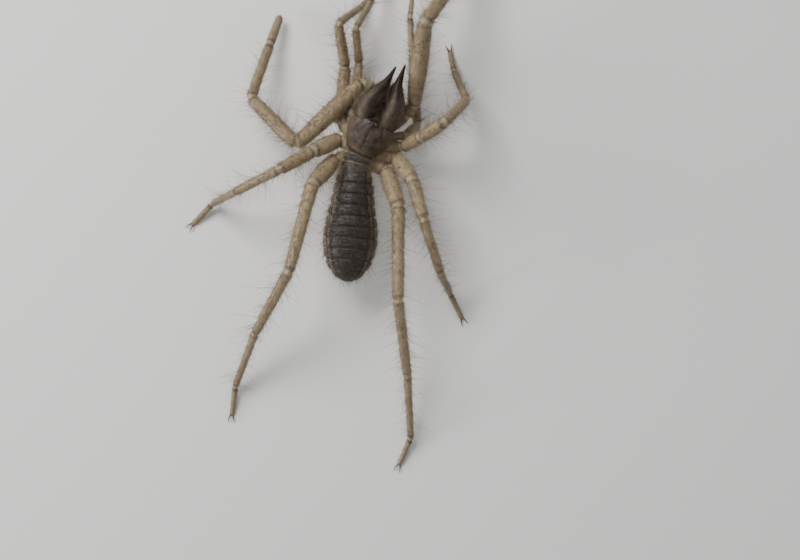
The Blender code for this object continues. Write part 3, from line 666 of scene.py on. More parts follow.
class Limb:
    """The route of one limb, from inside the body to its tip, with rounded knees."""

    def __init__(self, name):
        self.name = name
        self.kind = name.rsplit("_", 1)[0]
        coxa, angles = POSE[name]
        segments = SEGMENTS[self.kind]
        self.points = [np.array(point, float) for point in coxa]
        self.coxa_count = len(coxa) - 1
        first = segments[0][1][0]
        self.radii = [(first * COXA_SWELL, first * COXA_SWELL, first)] * self.coxa_count
        pitches = self.solve_pitches(angles, segments)
        for (way, _), pitch, (length, radii) in zip(angles, pitches, segments):
            level = math.cos(math.radians(pitch))
            step = flat_way(way) * level + UP * math.sin(math.radians(pitch))
            self.points.append(self.points[-1] + step * length)
            self.radii.append(radii)
        self.count = len(self.points) - 1
        self.lengths = [float(np.linalg.norm(b - a)) for a, b in zip(self.points, self.points[1:])]

    def solve_pitches(self, angles, segments):
        """Fills in the pitch that brings the end of the foot down to the floor."""
        pitches = [pitch for _, pitch in angles]
        if None in pitches:
            free = pitches.index(None)
            known = sum(
                segment[0] * math.sin(math.radians(pitch))
                for segment, pitch in zip(segments, pitches)
                if pitch is not None
            )
            drop = SOLE_HEIGHT - self.points[-1][2] - known
            pitches[free] = math.degrees(math.asin(drop / segments[free][0]))
        return pitches

    def reach(self, joint):
        """How far the bend at a joint runs into the segments that meet there."""
        before = unit(self.points[joint] - self.points[joint - 1])
        after = unit(self.points[joint + 1] - self.points[joint])
        half_turn = math.acos(max(-1.0, min(1.0, float(before @ after)))) / 2
        needed = BEND_ROOM * math.sin(half_turn) / math.cos(half_turn) ** 2
        radius = max(self.radii[joint][0], self.radii[joint - 1][2])
        short = min(self.lengths[joint - 1], self.lengths[joint])
        return min(0.45 * short, max(needed, BEND_ROOM) * radius)

    def place(self, segment, part):
        """The middle and the direction of the limb at a part of a segment."""
        start, end = self.points[segment], self.points[segment + 1]
        length = self.lengths[segment]
        way = (end - start) / length
        along = part * length
        if segment > 0 and along < self.reach(segment):
            return self.bend(segment, 0.5 + 0.5 * along / self.reach(segment))
        last = segment == self.count - 1
        if not last and length - along < self.reach(segment + 1):
            return self.bend(segment + 1, 0.5 - 0.5 * (length - along) / self.reach(segment + 1))
        return start + way * along, way

    def bend(self, joint, part):
        """The middle and the direction of the limb at a part of the curve around a joint."""
        reach = self.reach(joint)
        corner = self.points[joint]
        before = corner + unit(self.points[joint - 1] - corner) * reach
        after = corner + unit(self.points[joint + 1] - corner) * reach
        first = before + (corner - before) * part
        second = corner + (after - corner) * part
        return first + (second - first) * part, unit(second - first)

    def radius(self, segment, part):
        """The limb's radius at a part of a segment, before its knees."""
        start, middle, end = self.radii[segment]
        if segment + 1 < len(self.radii):
            end = (end + self.radii[segment + 1][0]) / 2
        if segment > 0:
            start = (start + self.radii[segment - 1][2]) / 2
        if part < 0.5:
            return start + (middle - start) * math.sin(math.pi * part)
        return end + (middle - end) * math.sin(math.pi * part)

    def stations(self):
        """Segment, part of it, and distance to the nearest joint, ring by ring."""
        rows = []
        for segment, length in enumerate(self.lengths):
            steps = max(4, round(length / RING_STEP))
            for k in range(steps + (segment == self.count - 1)):
                part = k / steps
                low = part * length if segment > 0 else NO_JOINT
                high = (1 - part) * length if segment < self.count - 1 else NO_JOINT
                rows.append((segment, part, min(low, high)))
        return rows

    def girth(self, segment, part, near, centre):
        """The radius of the skin: pinched at a knee, swollen beside it and blunt at the tip."""
        size = self.radius(segment, part)
        knee = 1.0 if segment >= self.coxa_count else COXA_KNEE
        swell = KNEE_SWELL * hump(near, 1.1, 0.6) - KNEE_PINCH * hump(near, 0.0, 0.42)
        size *= 1 + knee * float(swell)
        left = float(np.linalg.norm(self.points[-1] - centre))
        blunt = self.radii[-1][2] * TIP_BLUNTNESS
        if segment == self.count - 1 and left < blunt:
            size *= math.sqrt(max(0.02, 1 - ((blunt - left) / blunt) ** 2))
        return size

    def form(self):
        """The limb's skin: stiff lengths with soft rings of membrane between them."""
        angle = circle(LIMB_SIDES[self.kind], 0.5)
        rings, marks, growth = [], [], []
        for segment, part, near in self.stations():
            centre, way = self.place(segment, part)
            side = unit(np.cross(way, UP))
            girth = self.girth(segment, part, near, centre)
            rings.append(centre + spokes(side, np.cross(side, way), angle) * girth)
            soft = float(hump(near, 0.0, MEMBRANE_REACH))
            rim = KNEE_RIM * float(hump(near, 0.85, 0.3))
            # The inner coxa of a pedipalp is step -1. It takes the last tone, that of the foot,
            # which paints shade on it under the jaws.
            step = segment - self.coxa_count + 1
            tone, following = (LIMB_TONES[min(step + k, FOOT_STEP)] for k in (0, 1))
            dark = tone + (following - tone) * part + rim * (1 - soft) + TOP_TONE * np.sin(angle)
            marks.append(marked(soft, dark, LIMB_SPECKLES[min(max(step, 0), FOOT_STEP)]))
            growth.append(1 - 0.9 * soft)
        points = np.array(rings)
        points[..., 2] = np.maximum(points[..., 2], 0.0)
        marks = np.array(marks)
        chance = np.random.default_rng(SPOT_SEED).random(marks.shape[:2])
        spotted = chance < SPOT_SHARE * marks[..., 2]
        marks[..., 1] += SPOT_DEPTH * spotted * (1 - marks[..., 0])
        return Form(points, marks, np.array(growth)[:, None])


def trunk_form():
    """The soft body under the head shield, with the plates behind it."""
    rings, sides = TRUNK_GRID
    places = np.linspace(TRUNK[0][0], TRUNK[-1][0], rings)
    wide, high, deep = columns(TRUNK, places)
    y = places[:, None]
    angle = circle(sides)[None, :]
    cos, sin = np.cos(angle), np.sin(angle)
    up = np.clip(sin, 0, 1)
    groove = sum(depth * hump(y, middle, TRUNK_GROOVE_REACH) for middle, depth in TRUNK_GROOVES)
    groove = groove * up**0.6
    front = ((y - places[-1] + TRUNK_FRONT) / TRUNK_FRONT).clip(0, 1)
    rear = ((places[0] + TRUNK_REAR - y) / TRUNK_REAR).clip(0, 1)
    close = np.sqrt(np.clip((1 - front**2) * (1 - rear**2), 0.02, 1))
    x = (wide * cos * (1 - groove / wide)) * close
    z = np.where(sin > 0, high, deep) * sin * close - groove * sin
    soft = np.clip(groove * 2.2, 0, 1)
    # Pale below and dark brown above. Where it shows between the jaws it is painted as dark as they
    # are, as painted shade in the gap between them.
    dark = 0.22 + 0.72 * rising(up, 0.12, 0.72) + 0.7 * rising(y, 6.5, 8.6)
    growth = (1 - 0.8 * soft) * (1 - rising(y, 8.0, 9.0))
    return Form(body_points(x, y, SEAM_HEIGHT + z), marked(soft * 0.6, dark, 0.45), growth)


def abdomen_form():
    """The abdomen: ten rings with plates above and below and soft folded sides."""
    rings, sides = ABDOMEN_GRID
    lead = ABDOMEN_LEAD / ABDOMEN_LENGTH
    leading = np.linspace(-lead, 0, ABDOMEN_LEAD_RINGS)[:-1]
    places = np.concatenate((leading, np.linspace(0, 1, rings)))
    wide, high, middle = columns(ABDOMEN, np.clip(places, 0, 1))
    part = places[:, None]
    angle = circle(sides)[None, :]
    cos, sin = np.cos(angle), np.sin(angle)
    # Where a point lies: how many rings lie before it, how near a ring's edge, and on which side.
    count = part * ABDOMEN_SEGMENTS
    step = count - np.floor(count)
    near = np.minimum(step, 1 - step)
    inside = (count > 0.2) * (count < ABDOMEN_SEGMENTS - 0.15)
    flank = rising(np.abs(cos), 0.62, 0.86)
    plate = rising(sin, 0.55, 0.8)
    # The relief, from the grooves between the rings to the fine folds and pits.
    wave = 0.02 * np.sin(angle * 3 + np.floor(count) * 2.3)
    groove = (hump(near + wave, 0, 0.07) * RING_GROOVE + hump(near, 0, 0.2) * RING_HOLLOW) * inside
    overlap = PLATE_OVERLAP * rising(step, 0.3, 0.9) * (count > 0) * (1 - rising(step, 0.93, 1.0))
    folds = np.cos(angle * 20 + 0.6 * np.sin(count * 2.0)) + 0.4 * np.cos(angle * 33 + count * 1.1)
    folds = folds * flank * (1 - 0.6 * hump(near, 0, 0.1))
    line = hump(np.abs(cos), 0.66 + 0.02 * np.sin(count * 5), 0.05) * (sin > 0) * inside
    pits = np.cos(count * 2 * np.pi * 3 + np.sin(angle * 5)) * np.cos(angle * 9 + count)
    ridge = hump(sin, 0.42, 0.12) * (np.abs(cos) > 0.5) * inside
    grow = -groove * (0.7 + 0.3 * flank) + overlap * plate + FLANK_FOLD * folds
    grow = grow + PLATE_PIT * pits * plate - SIDE_FURROW * ridge - SIDE_LINE * line
    ends = np.sqrt(np.clip(1 - ((part - 0.955) / 0.047).clip(0, 1) ** 2, 0.04, 1))
    ends = ends * (1 - 0.16 * rising(-part, 0, lead))
    x = (wide + grow) * np.sign(cos) * np.abs(cos) ** 0.92 * ends
    z = (high + grow) * sin * ends
    points = body_points(x, -NECK_LENGTH - ABDOMEN_LENGTH * part, middle + z)
    # The tones are darkest on the plates and along the back, and paler below and on the flanks.
    band = hump(cos, 0, 0.34) * (sin > 0)
    dark = FLANK_TONE + PLATE_TONE * plate + BACK_TONE * band * rising(count, 0.3, 1.5)
    # Painted shade darkens the grooves between the rings.
    dark = dark + 0.12 * hump(near + wave, 0, 0.09)
    # Painted shade darkens the side furrow and line and the hollows of the folds, whose crests are
    # painted paler.
    dark = dark + 0.10 * ridge + 0.16 * line - BELLY_TONE * rising(-sin, 0.0, 0.6) - 0.09 * folds
    # Painted shade darkens the pits of the plates, and a painted rim light pales the outermost
    # sides.
    dark = dark - 0.05 * pits * plate - 0.12 * hump(np.abs(cos), 1, 0.12) * rising(count, 0.5, 2.0)
    return Form(points, marked(0.0, dark, 0.35 + 0.3 * flank), 1 - 0.5 * hump(near, 0, 0.06))


def shield_form():
    """The head shield: a dome with rolled edges, lobes at its front corners, and the eye mound."""
    rings, over, under = SHIELD_GRID
    first, last = HEAD_SHIELD[0][0] - SHIELD_REAR, HEAD_SHIELD[-1][0] + SHIELD_FRONT
    places = np.linspace(first, last, rings)
    wide, high = columns(HEAD_SHIELD, places)
    y = places[:, None]
    above_seam = np.pi * np.arange(over + 1) / over
    below_seam = np.linspace(np.pi, 2 * np.pi, under + 1)[1:-1]
    angle = np.concatenate((above_seam, below_seam))
    cos, sin = np.cos(angle)[None, :], np.sin(angle)[None, :]
    above = sin >= 0
    across = cos * wide
    rim = 0.12 * hump(y, last - 0.75, 0.32) + 0.10 * hump(y, first + 0.75, 0.3)
    groove = MIDDLE_GROOVE * hump(across, 0, 0.32) * rising(y, 0.8, 2.4) * (1 - rising(y, 5.6, 7.0))
    bow = 2.5 + 0.30 * (last - y)
    lobe = LOBE_GROOVE * hump(np.abs(across) - bow, 0, 0.26) * rising(y, 4.2, 6.4)
    seams = SHIELD_SEAM * hump(y - 3.4 - 0.12 * across**2, 0, 0.3) * (np.abs(across) < 3.5)
    dents = SHIELD_DENT * np.cos(across * 2.1 + 0.6) * np.cos(y * 1.7 + np.abs(across) * 0.8)
    grow = (rim - groove - lobe - seams + dents) * above
    from_mound = np.hypot(across / 1.15, y - MOUND_FORWARD)
    lift = MOUND_RISE * hump(from_mound, 0, MOUND_REACH * 0.66) * above
    # The edges roll in at the front, at the rear and along the seam.
    at_front, at_rear = rising(y, last - 0.8, last), 1 - rising(y, first, first + 0.9)
    roll = 1 - 0.13 * at_front**2 - 0.14 * at_rear**2
    tuck = 1 - 0.05 * hump(sin, 0, 0.22)
    x = (wide + grow) * cos * roll * tuck
    z = np.where(above, (high + grow) * sin * roll + lift, 0.45 * sin)
    front = 0.9 * (across / wide.max()) ** 2 * rising(y, 4.5, 9.3)
    rear = 0.6 * (across / wide.min()) ** 2 * (1 - rising(y, 0.0, 3.0))
    points = body_points(x, y - front + rear, SEAM_HEIGHT + SHIELD_LIFT + z)
    spots = hump(np.abs(across), 2.3, 0.7) * (hump(y, 2.6, 0.8) + hump(y, 5.0, 0.9))
    side = rising(np.abs(cos), 0.74, 0.97)
    dark = SHIELD_TONE + 0.20 * spots - 0.26 * side + 0.12 * hump(across, 0, 0.6)
    dark = dark - 0.12 * hump(y, first + 0.2, 0.6)
    dark = dark + 0.30 * hump(np.hypot(across, y - MOUND_FORWARD), 0, 1.7)
    # Painted shade in the grooves beside the lobes, the middle groove and the cross seam.
    dark = dark + 0.16 * (lobe + groove + seams) / 0.2
    return Form(points, marked(0.0, dark, 0.5), above * (0.4 + 0.6 * rising(y, 0.4, 2.0)))


def jaw_form(table, sign, upper):
    """One half of a jaw, swollen at its root and drawn out into a horn-tipped finger."""
    rings, tip_rings, sides = JAW_GRID
    first, last = table[0][0], table[-1][0]
    shaft = np.linspace(first, last - JAW_TIP, rings)
    places = np.concatenate((shaft, np.linspace(last - JAW_TIP, last, tip_rings)[1:]))
    aside, rise, wide, high = columns(table, places)
    y = places[:, None]
    angle = circle(sides)[None, :]
    cos, sin = np.cos(angle), np.sin(angle)
    if upper:
        outer = 0.15 if sign > 0 else np.pi - 0.15
        keel = JAW_KEEL * hump(angle, np.pi / 2, 0.35) * rising(y, 5.0, 8.5)
        keel = keel * (1 - rising(y, 11.0, 13.5))
        grow = keel - JAW_DENT * hump(angle, outer, 0.35) * hump(y, 6.2, 2.2)
        horn = rising(y - 0.25 * sin, 9.2, 11.4)
    else:
        grow = 0.0
        horn = rising(y, 6.5, 9.0)
    close = np.sqrt(np.clip(1 - ((y - last + 0.25) / 0.26).clip(0, 1) ** 2, 0.03, 1))
    start = np.sqrt(np.clip(1 - ((first + 0.8 - y) / 0.82).clip(0, 1) ** 2, 0.2, 1))
    flat = 1 - 0.12 * hump(cos * sign, -1, 0.5)
    x = sign * aside + (wide + grow) * cos * flat * close * start
    z = rise + (high + grow) * sin * close * start
    points = body_points(x, JAW_START + y * JAW_REACH[sign], JAW_HEIGHT + z)
    # Streaked along its swollen part, and darker above and towards the finger. The inner side that
    # faces the other jaw is darkened with painted shade.
    streak = 0.10 * np.cos(angle * 5) * (1 - horn)
    dark = JAW_TONE + 0.14 * np.clip(sin, 0, 1) + streak
    dark = dark + 0.22 * hump(cos * sign, -1, 0.45) + 0.2 * rising(y, 5, 9)
    # Hair grows on the swollen part and stands thick as a brush on its inner side.
    brush = 1 + 2.2 * hump(cos * sign, -1, 0.55) * rising(y, 3.0, 5.0)
    grown = (1 - rising(y, 9.0, 10.6)) * rising(y, first + 1.2, first + 2.0)
    return Form(points, marked(horn, dark, 0.4), grown * brush)


def tooth_form(table, row, sign, up):
    """One tooth of a jaw, which leans back a little, standing up or hanging down from its edge."""
    along, height, radius = row
    aside, rise, _, half = eased(table, [along])[0]
    foot = JAW_HEIGHT + rise + up * half * 0.75
    start = np.array((sign * aside, JAW_START + along * JAW_REACH[sign], foot))
    points, radii = [], []
    for part in np.linspace(0, 1, TOOTH_RINGS):
        x, y, z = start + (0, -0.25 * part**2, up * (half * 0.25 + height) * part)
        points.append(body_points(x, y, z))
        radii.append(radius * max(0.06, (1 - part) ** 0.7))
    level_ring = spokes(np.array((1.0, 0.0, 0.0)), np.array((0.0, 1.0, 0.0)), circle(TOOTH_SIDES))
    rings = np.array(points)[:, None] + level_ring * np.array(radii)[:, None, None]
    return Form(rings, (1.0, 0.9, 0.2), 0.0)


def claw_form(centre, way, sign):
    """One claw of a foot, which leads outward, arches up and comes down to its point."""
    level = levelled(way)
    side = np.cross(level, UP)
    out = np.array(Matrix.Rotation(math.radians(CLAW_SPREAD) * sign, 3, "Z") @ Vector(level))
    root = centre - level * CLAW_INSET - side * sign * CLAW_INWARD
    points, radii = [], []
    for part in np.linspace(0, 1, CLAW_RINGS):
        point = root + out * CLAW_LENGTH * part + side * sign * CLAW_CURL * part**2
        arch = CLAW_ARCH * math.sin(math.pi * part**0.8)
        height = centre[2] + CLAW_RISE + arch - CLAW_FALL * part**3
        radius = CLAW_RADIUS * (1 - part) ** 0.6 + CLAW_POINT
        point[2] = max(height, radius + 0.01)
        points.append(point)
        radii.append(radius)
    points = np.array(points)
    way = unit(np.gradient(points, axis=0))
    side = unit(np.cross(way, UP))
    rings = spokes(side, np.cross(side, way), circle(CLAW_SIDES)) * np.array(radii)[:, None, None]
    return Form(points[:, None] + rings, (0.0, 0.8, 0.0), 0.0)


def racket_form(limb, segment, part):
    """One racket organ: a stalk that widens to a fan and hangs from the underside of a hind leg."""
    centre, way = limb.place(segment, part)
    across = unit(np.cross(way, UP))
    level = levelled(way)
    top = centre - UP * limb.radius(segment, part) * 0.7
    cos, sin = np.cos(circle(RACKET_SIDES))[:, None], np.sin(circle(RACKET_SIDES))[:, None]
    rings = []
    for drop in np.linspace(0, 1, RACKET_RINGS):
        narrowing = 1 - 0.35 * float(rising(drop, 0.9, 1.0))
        fan = 0.16 + 0.84 * float(rising(drop, 0.42, 0.86)) * narrowing
        thick = 0.11 + 0.04 * float(hump(drop, 0.9, 0.2))
        middle = top - UP * RACKET_DROP * drop + level * 0.3 * drop**2
        ring = across * cos * RACKET_WIDTH * fan + level * sin * thick
        rings.append(middle + ring - UP * 0.35 * (cos**2) * -fan * drop)
    return Form(np.array(rings), (0.6, 0.05, 0.0), 0.0)


class Coat:
    """Hairs gathered for one piece, each a thin tapered mesh rooted in a form."""

    def __init__(self, seed):
        self.random = np.random.default_rng(seed)
        self.parts = []
        self.base = 0

    def roots(self, form, density):
        """Root points spread over a form, as many to a square millimetre as the density says."""
        grid = form.points
        turned = np.roll(grid, -1, axis=1)
        near, near_next, far, far_next = grid[:-1], turned[:-1], grid[1:], turned[1:]
        first_half = np.cross(near_next - near, far - near)
        other_half = np.cross(near_next - far_next, far - far_next)
        area = (np.linalg.norm(first_half, axis=-1) + np.linalg.norm(other_half, axis=-1)) / 2
        wanted = area * (density * form.growth)[:-1]
        total = float(wanted.sum())
        count = int(total)
        if count < 1:
            return None
        cell = self.random.choice(wanted.size, count, p=(wanted / total).ravel())
        i, j = np.unravel_index(cell, wanted.shape)
        s, t = self.random.random((2, count))
        k, m = i + 1, (j + 1) % grid.shape[1]

        def read(values):
            low = values[i, j] * (1 - s)[:, None] + values[i, m] * s[:, None]
            high = values[k, j] * (1 - s)[:, None] + values[k, m] * s[:, None]
            return low * (1 - t)[:, None] + high * t[:, None]

        out, along = form.normals()
        return {
            "root": read(grid),
            "out": unit(read(out)),
            "along": unit(read(along)),
            "marks": read(form.marks),
            "spot": np.stack(((i + t) / grid.shape[0], (j + s) / grid.shape[1]), axis=-1),
            "ring": i,
        }

    def uncovered(self, roots, tree):
        """The roots that lie on the open surface of the skin, and not inside it."""
        points = (roots["root"] + SHIFT) * MM
        found = [tree.find_nearest(Vector(point), ROOT_CLEARANCE * MM)[3] for point in points]
        keep = np.array([distance is not None for distance in found], bool)
        return {name: values[keep] for name, values in roots.items()}

    def grow(self, roots, usual, spreads, sway, sections, brown=0.0):
        """Grows one hair from each root. Its length, radius and two lifts are the usual ones, each
        times a number drawn between the two of its spread."""
        drawn = []
        for value, (low, high) in zip(usual, spreads):
            drawn.append(value * (low + (high - low) * self.random.random(len(roots["root"]))))
        self.add(roots, *drawn, sway, sections, brown)

    def field(self, form, row, coat, plan, tree=None, backward=False):
        """Grows a field of hair on the body or the head, from one row of its table."""
        density, shortest, longest, lift, fall, sections = row
        stoutness, sway = plan
        roots = self.roots(form, density * coat.short_density / FIELD_DENSITY)
        if tree is not None:
            roots = self.uncovered(roots, tree)
        if backward:
            roots["along"] = -roots["along"]
        usual = (coat.length, coat.thickness / MM, lift, fall)
        self.grow(roots, usual, ((shortest, longest), stoutness, *FIELD_LIFTS), sway, sections)

    def add(self, roots, length, radius, lift, fall, sway, sections, brown=0.0):
        """Adds one hair at each root, curved from its lift at the root to the one at its tip."""
        count = len(roots["root"])
        if not count:
            return
        out, along = roots["out"], roots["along"]
        side = unit(np.cross(out, along))
        lean = self.random.normal(0, 1, count) * sway
        position = roots["root"] - out * radius[:, None] * 1.5
        points = []
        for k in range(sections + 1):
            share = k / sections
            tilt = lift * (1 - share) + fall * share
            cos, sin = np.cos(tilt)[:, None], np.sin(tilt)[:, None]
            way = unit(along * cos + out * sin + side * lean[:, None])
            if k:
                position = position + way * (length / sections)[:, None]
            position[:, 2] = np.maximum(position[:, 2], HAIR_FLOOR)
            if k == sections:
                points.append(position[:, None])
                break
            across = unit(np.cross(way, out + 0.01))
            size = radius * (1 - share) ** 0.75
            ring = spokes(across, np.cross(across, way), circle(HAIR_SIDES)) * size[:, None, None]
            points.append(position[:, None] + ring)
        points = np.concatenate(points, axis=1)
        each = points.shape[1]
        first = self.base + np.arange(count)[:, None, None] * each
        quads, corners = self.hair_faces(sections)
        marks = np.repeat(roots["marks"][:, None], each, axis=1)
        marks[..., 0] = (self.random.random(count) * (1 + 2.5 * brown))[:, None]
        level = np.concatenate((np.repeat(np.arange(sections), HAIR_SIDES), (sections,))) / sections
        turn = np.concatenate((np.tile((-0.5, 0.0, 0.5), sections), (0.0,)))
        spots = roots["spot"][:, None] + (np.stack((level - 0.5, turn), axis=-1) * HAIR_PATCH)[None]
        grids = (points, marks, spots)
        points, marks, spots = (grid.reshape(-1, grid.shape[-1]) for grid in grids)
        quads, corners = (quads + first).reshape(-1, 4), (corners + first).reshape(-1, 3)
        self.parts.append((points, quads, corners, marks, spots))
        self.base += count * each

    @staticmethod
    def hair_faces(sections):
        """The quads along one three-sided hair, and the triangles at its tip and over its root."""
        j, k = np.arange(HAIR_SIDES), (np.arange(HAIR_SIDES) + 1) % HAIR_SIDES
        ring = np.arange(sections - 1)[:, None] * HAIR_SIDES
        top = (sections - 1) * HAIR_SIDES
        above = ring + HAIR_SIDES
        quads = np.stack((ring + j, ring + k, above + k, above + j), axis=-1)
        tip = np.stack((top + j, top + k, np.full(HAIR_SIDES, top + HAIR_SIDES)), axis=-1)
        return quads.reshape(-1, 4), np.concatenate((tip, np.array(((0, 2, 1),))))

    def make(self, name, material, slot):
        """All the hairs so far as one piece, with its UV map."""
        points, quads, corners, marks, spots = (np.concatenate(part) for part in zip(*self.parts))
        item = make_mesh(name, points, quads, corners, marks, material)
        layer = item.data.uv_layers.new(name="OFBake")
        order = np.zeros(len(item.data.loops), np.int32)
        item.data.loops.foreach_get("vertex_index", order)
        places = np.clip(spots[order], 0.001, 0.999)
        layer.uv.foreach_set("vector", places.astype(np.float32).ravel())
        finish_piece(item, slot)


def feed(tree, socket, value):
    """Sets an input to another node's output, to a number or to a colour."""
    if isinstance(value, bpy.types.NodeSocket):
        tree.links.new(value, socket)
    elif isinstance(value, (int, float)):
        socket.default_value = value
    else:
        socket.default_value = (*value, 1.0)


def set_inputs(node, values):
    for name, value in values.items():
        node.inputs[name].default_value = value


def make_material(name):
    material = bpy.data.materials.new(name)
    material.use_nodes = True
    tree = material.node_tree
    return material, tree, tree.nodes["Principled BSDF"]


def mix_colour(tree, factor, first, second):
    """A mix of two colours, each a socket or a plain value."""
    node = tree.nodes.new("ShaderNodeMix")
    node.data_type = "RGBA"
    # A colour mix has its factor at input 0, its colours at 6 and 7, and its result at output 2.
    for index, value in ((0, factor), (6, first), (7, second)):
        feed(tree, node.inputs[index], value)
    return node.outputs[2]


def combine(tree, operation, first, second):
    """One Math node on two sockets or plain numbers."""
    node = tree.nodes.new("ShaderNodeMath")
    node.operation = operation
    feed(tree, node.inputs[0], first)
    feed(tree, node.inputs[1], second)
    return node.outputs[0]


def read_marks(tree):
    """The three marks of a point: soft or horny, dark, and speckled."""
    layer = tree.nodes.new("ShaderNodeAttribute")
    layer.attribute_name = "marks"
    split = tree.nodes.new("ShaderNodeSeparateXYZ")
    feed(tree, split.inputs[0], layer.outputs["Vector"])
    return split.outputs


def grain_group():
    """A shared effect: the fine bumps, blotches and spots of skin, from one scale."""
    group = bpy.data.node_groups.get("skin_grain")
    if group:
        return group
    group = bpy.data.node_groups.new("skin_grain", "ShaderNodeTree")
    group.interface.new_socket("Scale", in_out="INPUT", socket_type="NodeSocketFloat")
    for name in ("Height", "Blotch", "Spots"):
        group.interface.new_socket(name, in_out="OUTPUT", socket_type="NodeSocketFloat")
    nodes = group.nodes
    start = nodes.new("NodeGroupInput")
    end = nodes.new("NodeGroupOutput")
    place = nodes.new("ShaderNodeTexCoord")
    cells = nodes.new("ShaderNodeTexVoronoi")
    cells.feature = "SMOOTH_F1"
    noise = nodes.new("ShaderNodeTexNoise")
    noise.inputs["Detail"].default_value = 4.0
    blotch = nodes.new("ShaderNodeTexNoise")
    blotch.inputs["Detail"].default_value = 3.0
    spots = nodes.new("ShaderNodeTexVoronoi")
    for node, share in zip((cells, noise, blotch, spots), GRAIN_SHARES):
        feed(group, node.inputs["Vector"], place.outputs["Object"])
        feed(group, node.inputs["Scale"], combine(group, "MULTIPLY", start.outputs["Scale"], share))
    shape = nodes.new("ShaderNodeMapRange")
    shape.interpolation_type = "SMOOTHSTEP"
    set_inputs(shape, {"From Min": 0.16, "From Max": 0.34, "To Min": 1.0, "To Max": 0.0})
    feed(group, shape.inputs["Value"], spots.outputs["Distance"])
    height = combine(group, "ADD", cells.outputs["Distance"], noise.outputs["Fac"])
    feed(group, end.inputs["Height"], height)
    feed(group, end.inputs["Blotch"], blotch.outputs["Fac"])
    feed(group, end.inputs["Spots"], shape.outputs["Result"])
    return group


def add_grain(tree, shader, scale, strength):
    """Puts the grain in a material as its bump and gives back its blotches and spots."""
    grain = tree.nodes.new("ShaderNodeGroup")
    grain.node_tree = grain_group()
    grain.inputs["Scale"].default_value = scale
    bump = tree.nodes.new("ShaderNodeBump")
    bump.inputs["Strength"].default_value = strength
    bump.inputs["Distance"].default_value = GRAIN_DEPTH * MM
    feed(tree, bump.inputs["Height"], grain.outputs["Height"])
    feed(tree, shader.inputs["Normal"], bump.outputs["Normal"])
    return grain.outputs["Blotch"], grain.outputs["Spots"]


def clamped_sum(tree, first, second):
    total = combine(tree, "ADD", first, second)
    total.node.use_clamp = True
    return total


def toned_colour(tree, dark, blotch, uneven, pale, deep):
    """From the pale colour to the deep one, by how dark a point is marked and by its blotches."""
    shift = combine(tree, "MULTIPLY", combine(tree, "SUBTRACT", blotch, 0.5), uneven)
    return mix_colour(tree, clamped_sum(tree, dark, shift), pale, deep)


def skin_material(colours):
    """Soft skin: straw, darker where it is marked so, speckled, and pale on its membranes."""
    material, tree, shader = make_material("hide")
    blotch, spots = add_grain(tree, shader, *HIDE_GRAIN)
    soft, dark, speckle = read_marks(tree)
    base = toned_colour(tree, dark, blotch, HIDE_UNEVEN, colours.straw, colours.umber)
    share = combine(tree, "MULTIPLY", spots, combine(tree, "MULTIPLY", speckle, 0.75))
    spotted = mix_colour(tree, share, base, colours.speckle)
    soft_share = combine(tree, "MULTIPLY", soft, 0.8)
    feed(tree, shader.inputs["Base Color"], mix_colour(tree, soft_share, spotted, colours.membrane))
    set_inputs(shader, HIDE_FINISH)
    return material


def plate_material(colours):
    """The head shield: brown horn, mottled, with a slight gloss."""
    material, tree, shader = make_material("plate")
    blotch, spots = add_grain(tree, shader, *PLATE_GRAIN)
    _, dark, _ = read_marks(tree)
    base = toned_colour(tree, dark, blotch, PLATE_UNEVEN, colours.shield, colours.umber)
    share = combine(tree, "MULTIPLY", spots, 0.25)
    feed(tree, shader.inputs["Base Color"], mix_colour(tree, share, base, colours.speckle))
    set_inputs(shader, PLATE_FINISH)
    return material


def jaw_material(colours):
    """The jaws: brown and streaked at their swollen roots, black and glossy along the fingers."""
    material, tree, shader = make_material("jaw_horn")
    blotch, _ = add_grain(tree, shader, *JAW_GRAIN)
    horn, dark, _ = read_marks(tree)
    base = toned_colour(tree, dark, blotch, JAW_UNEVEN, colours.shield, colours.umber)
    feed(tree, shader.inputs["Base Color"], mix_colour(tree, horn, base, colours.horn))
    smoother = combine(tree, "MULTIPLY", horn, HORN_ROUGHNESS - JAW_ROUGHNESS)
    feed(tree, shader.inputs["Roughness"], combine(tree, "ADD", smoother, JAW_ROUGHNESS))
    set_inputs(shader, JAW_FINISH)
    return material


def hair_material(colours):
    """Hairs take the darkness of the skin at their roots, painted shade included, each a little
    lighter or darker.
    """
    material, tree, shader = make_material("hair")
    own, dark, _ = read_marks(tree)
    by_skin, by_chance = combine(tree, "MULTIPLY", dark, 0.9), combine(tree, "MULTIPLY", own, 0.3)
    depth = clamped_sum(tree, by_skin, by_chance)
    colour = mix_colour(tree, depth, colours.hair_pale, colours.hair_brown)
    feed(tree, shader.inputs["Base Color"], colour)
    set_inputs(shader, HAIR_FINISH)
    return material


MARKED_MATERIALS = {
    "hide": skin_material,
    "plate": plate_material,
    "jaw_horn": jaw_material,
    "hair": hair_material,
}


def animal_material(name):
    """The material of that name, made on its first use."""
    known = bpy.data.materials.get(name)
    if known:
        return known
    colours = bpy.context.scene.camel_spider_colours
    if name in MARKED_MATERIALS:
        return MARKED_MATERIALS[name](colours)
    colour, roughness, gloss = PLAIN_FINISHES[name]
    if isinstance(colour, str):
        colour = getattr(colours, colour)
    material, tree, shader = make_material(name)
    feed(tree, shader.inputs["Base Color"], colour)
    set_inputs(shader, {"Roughness": roughness, "Coat Weight": gloss})
    return material


def colour_property(name, description, default):
    return FloatVectorProperty(
        name=name, description=description, default=default, subtype="COLOR", min=0, max=1
    )


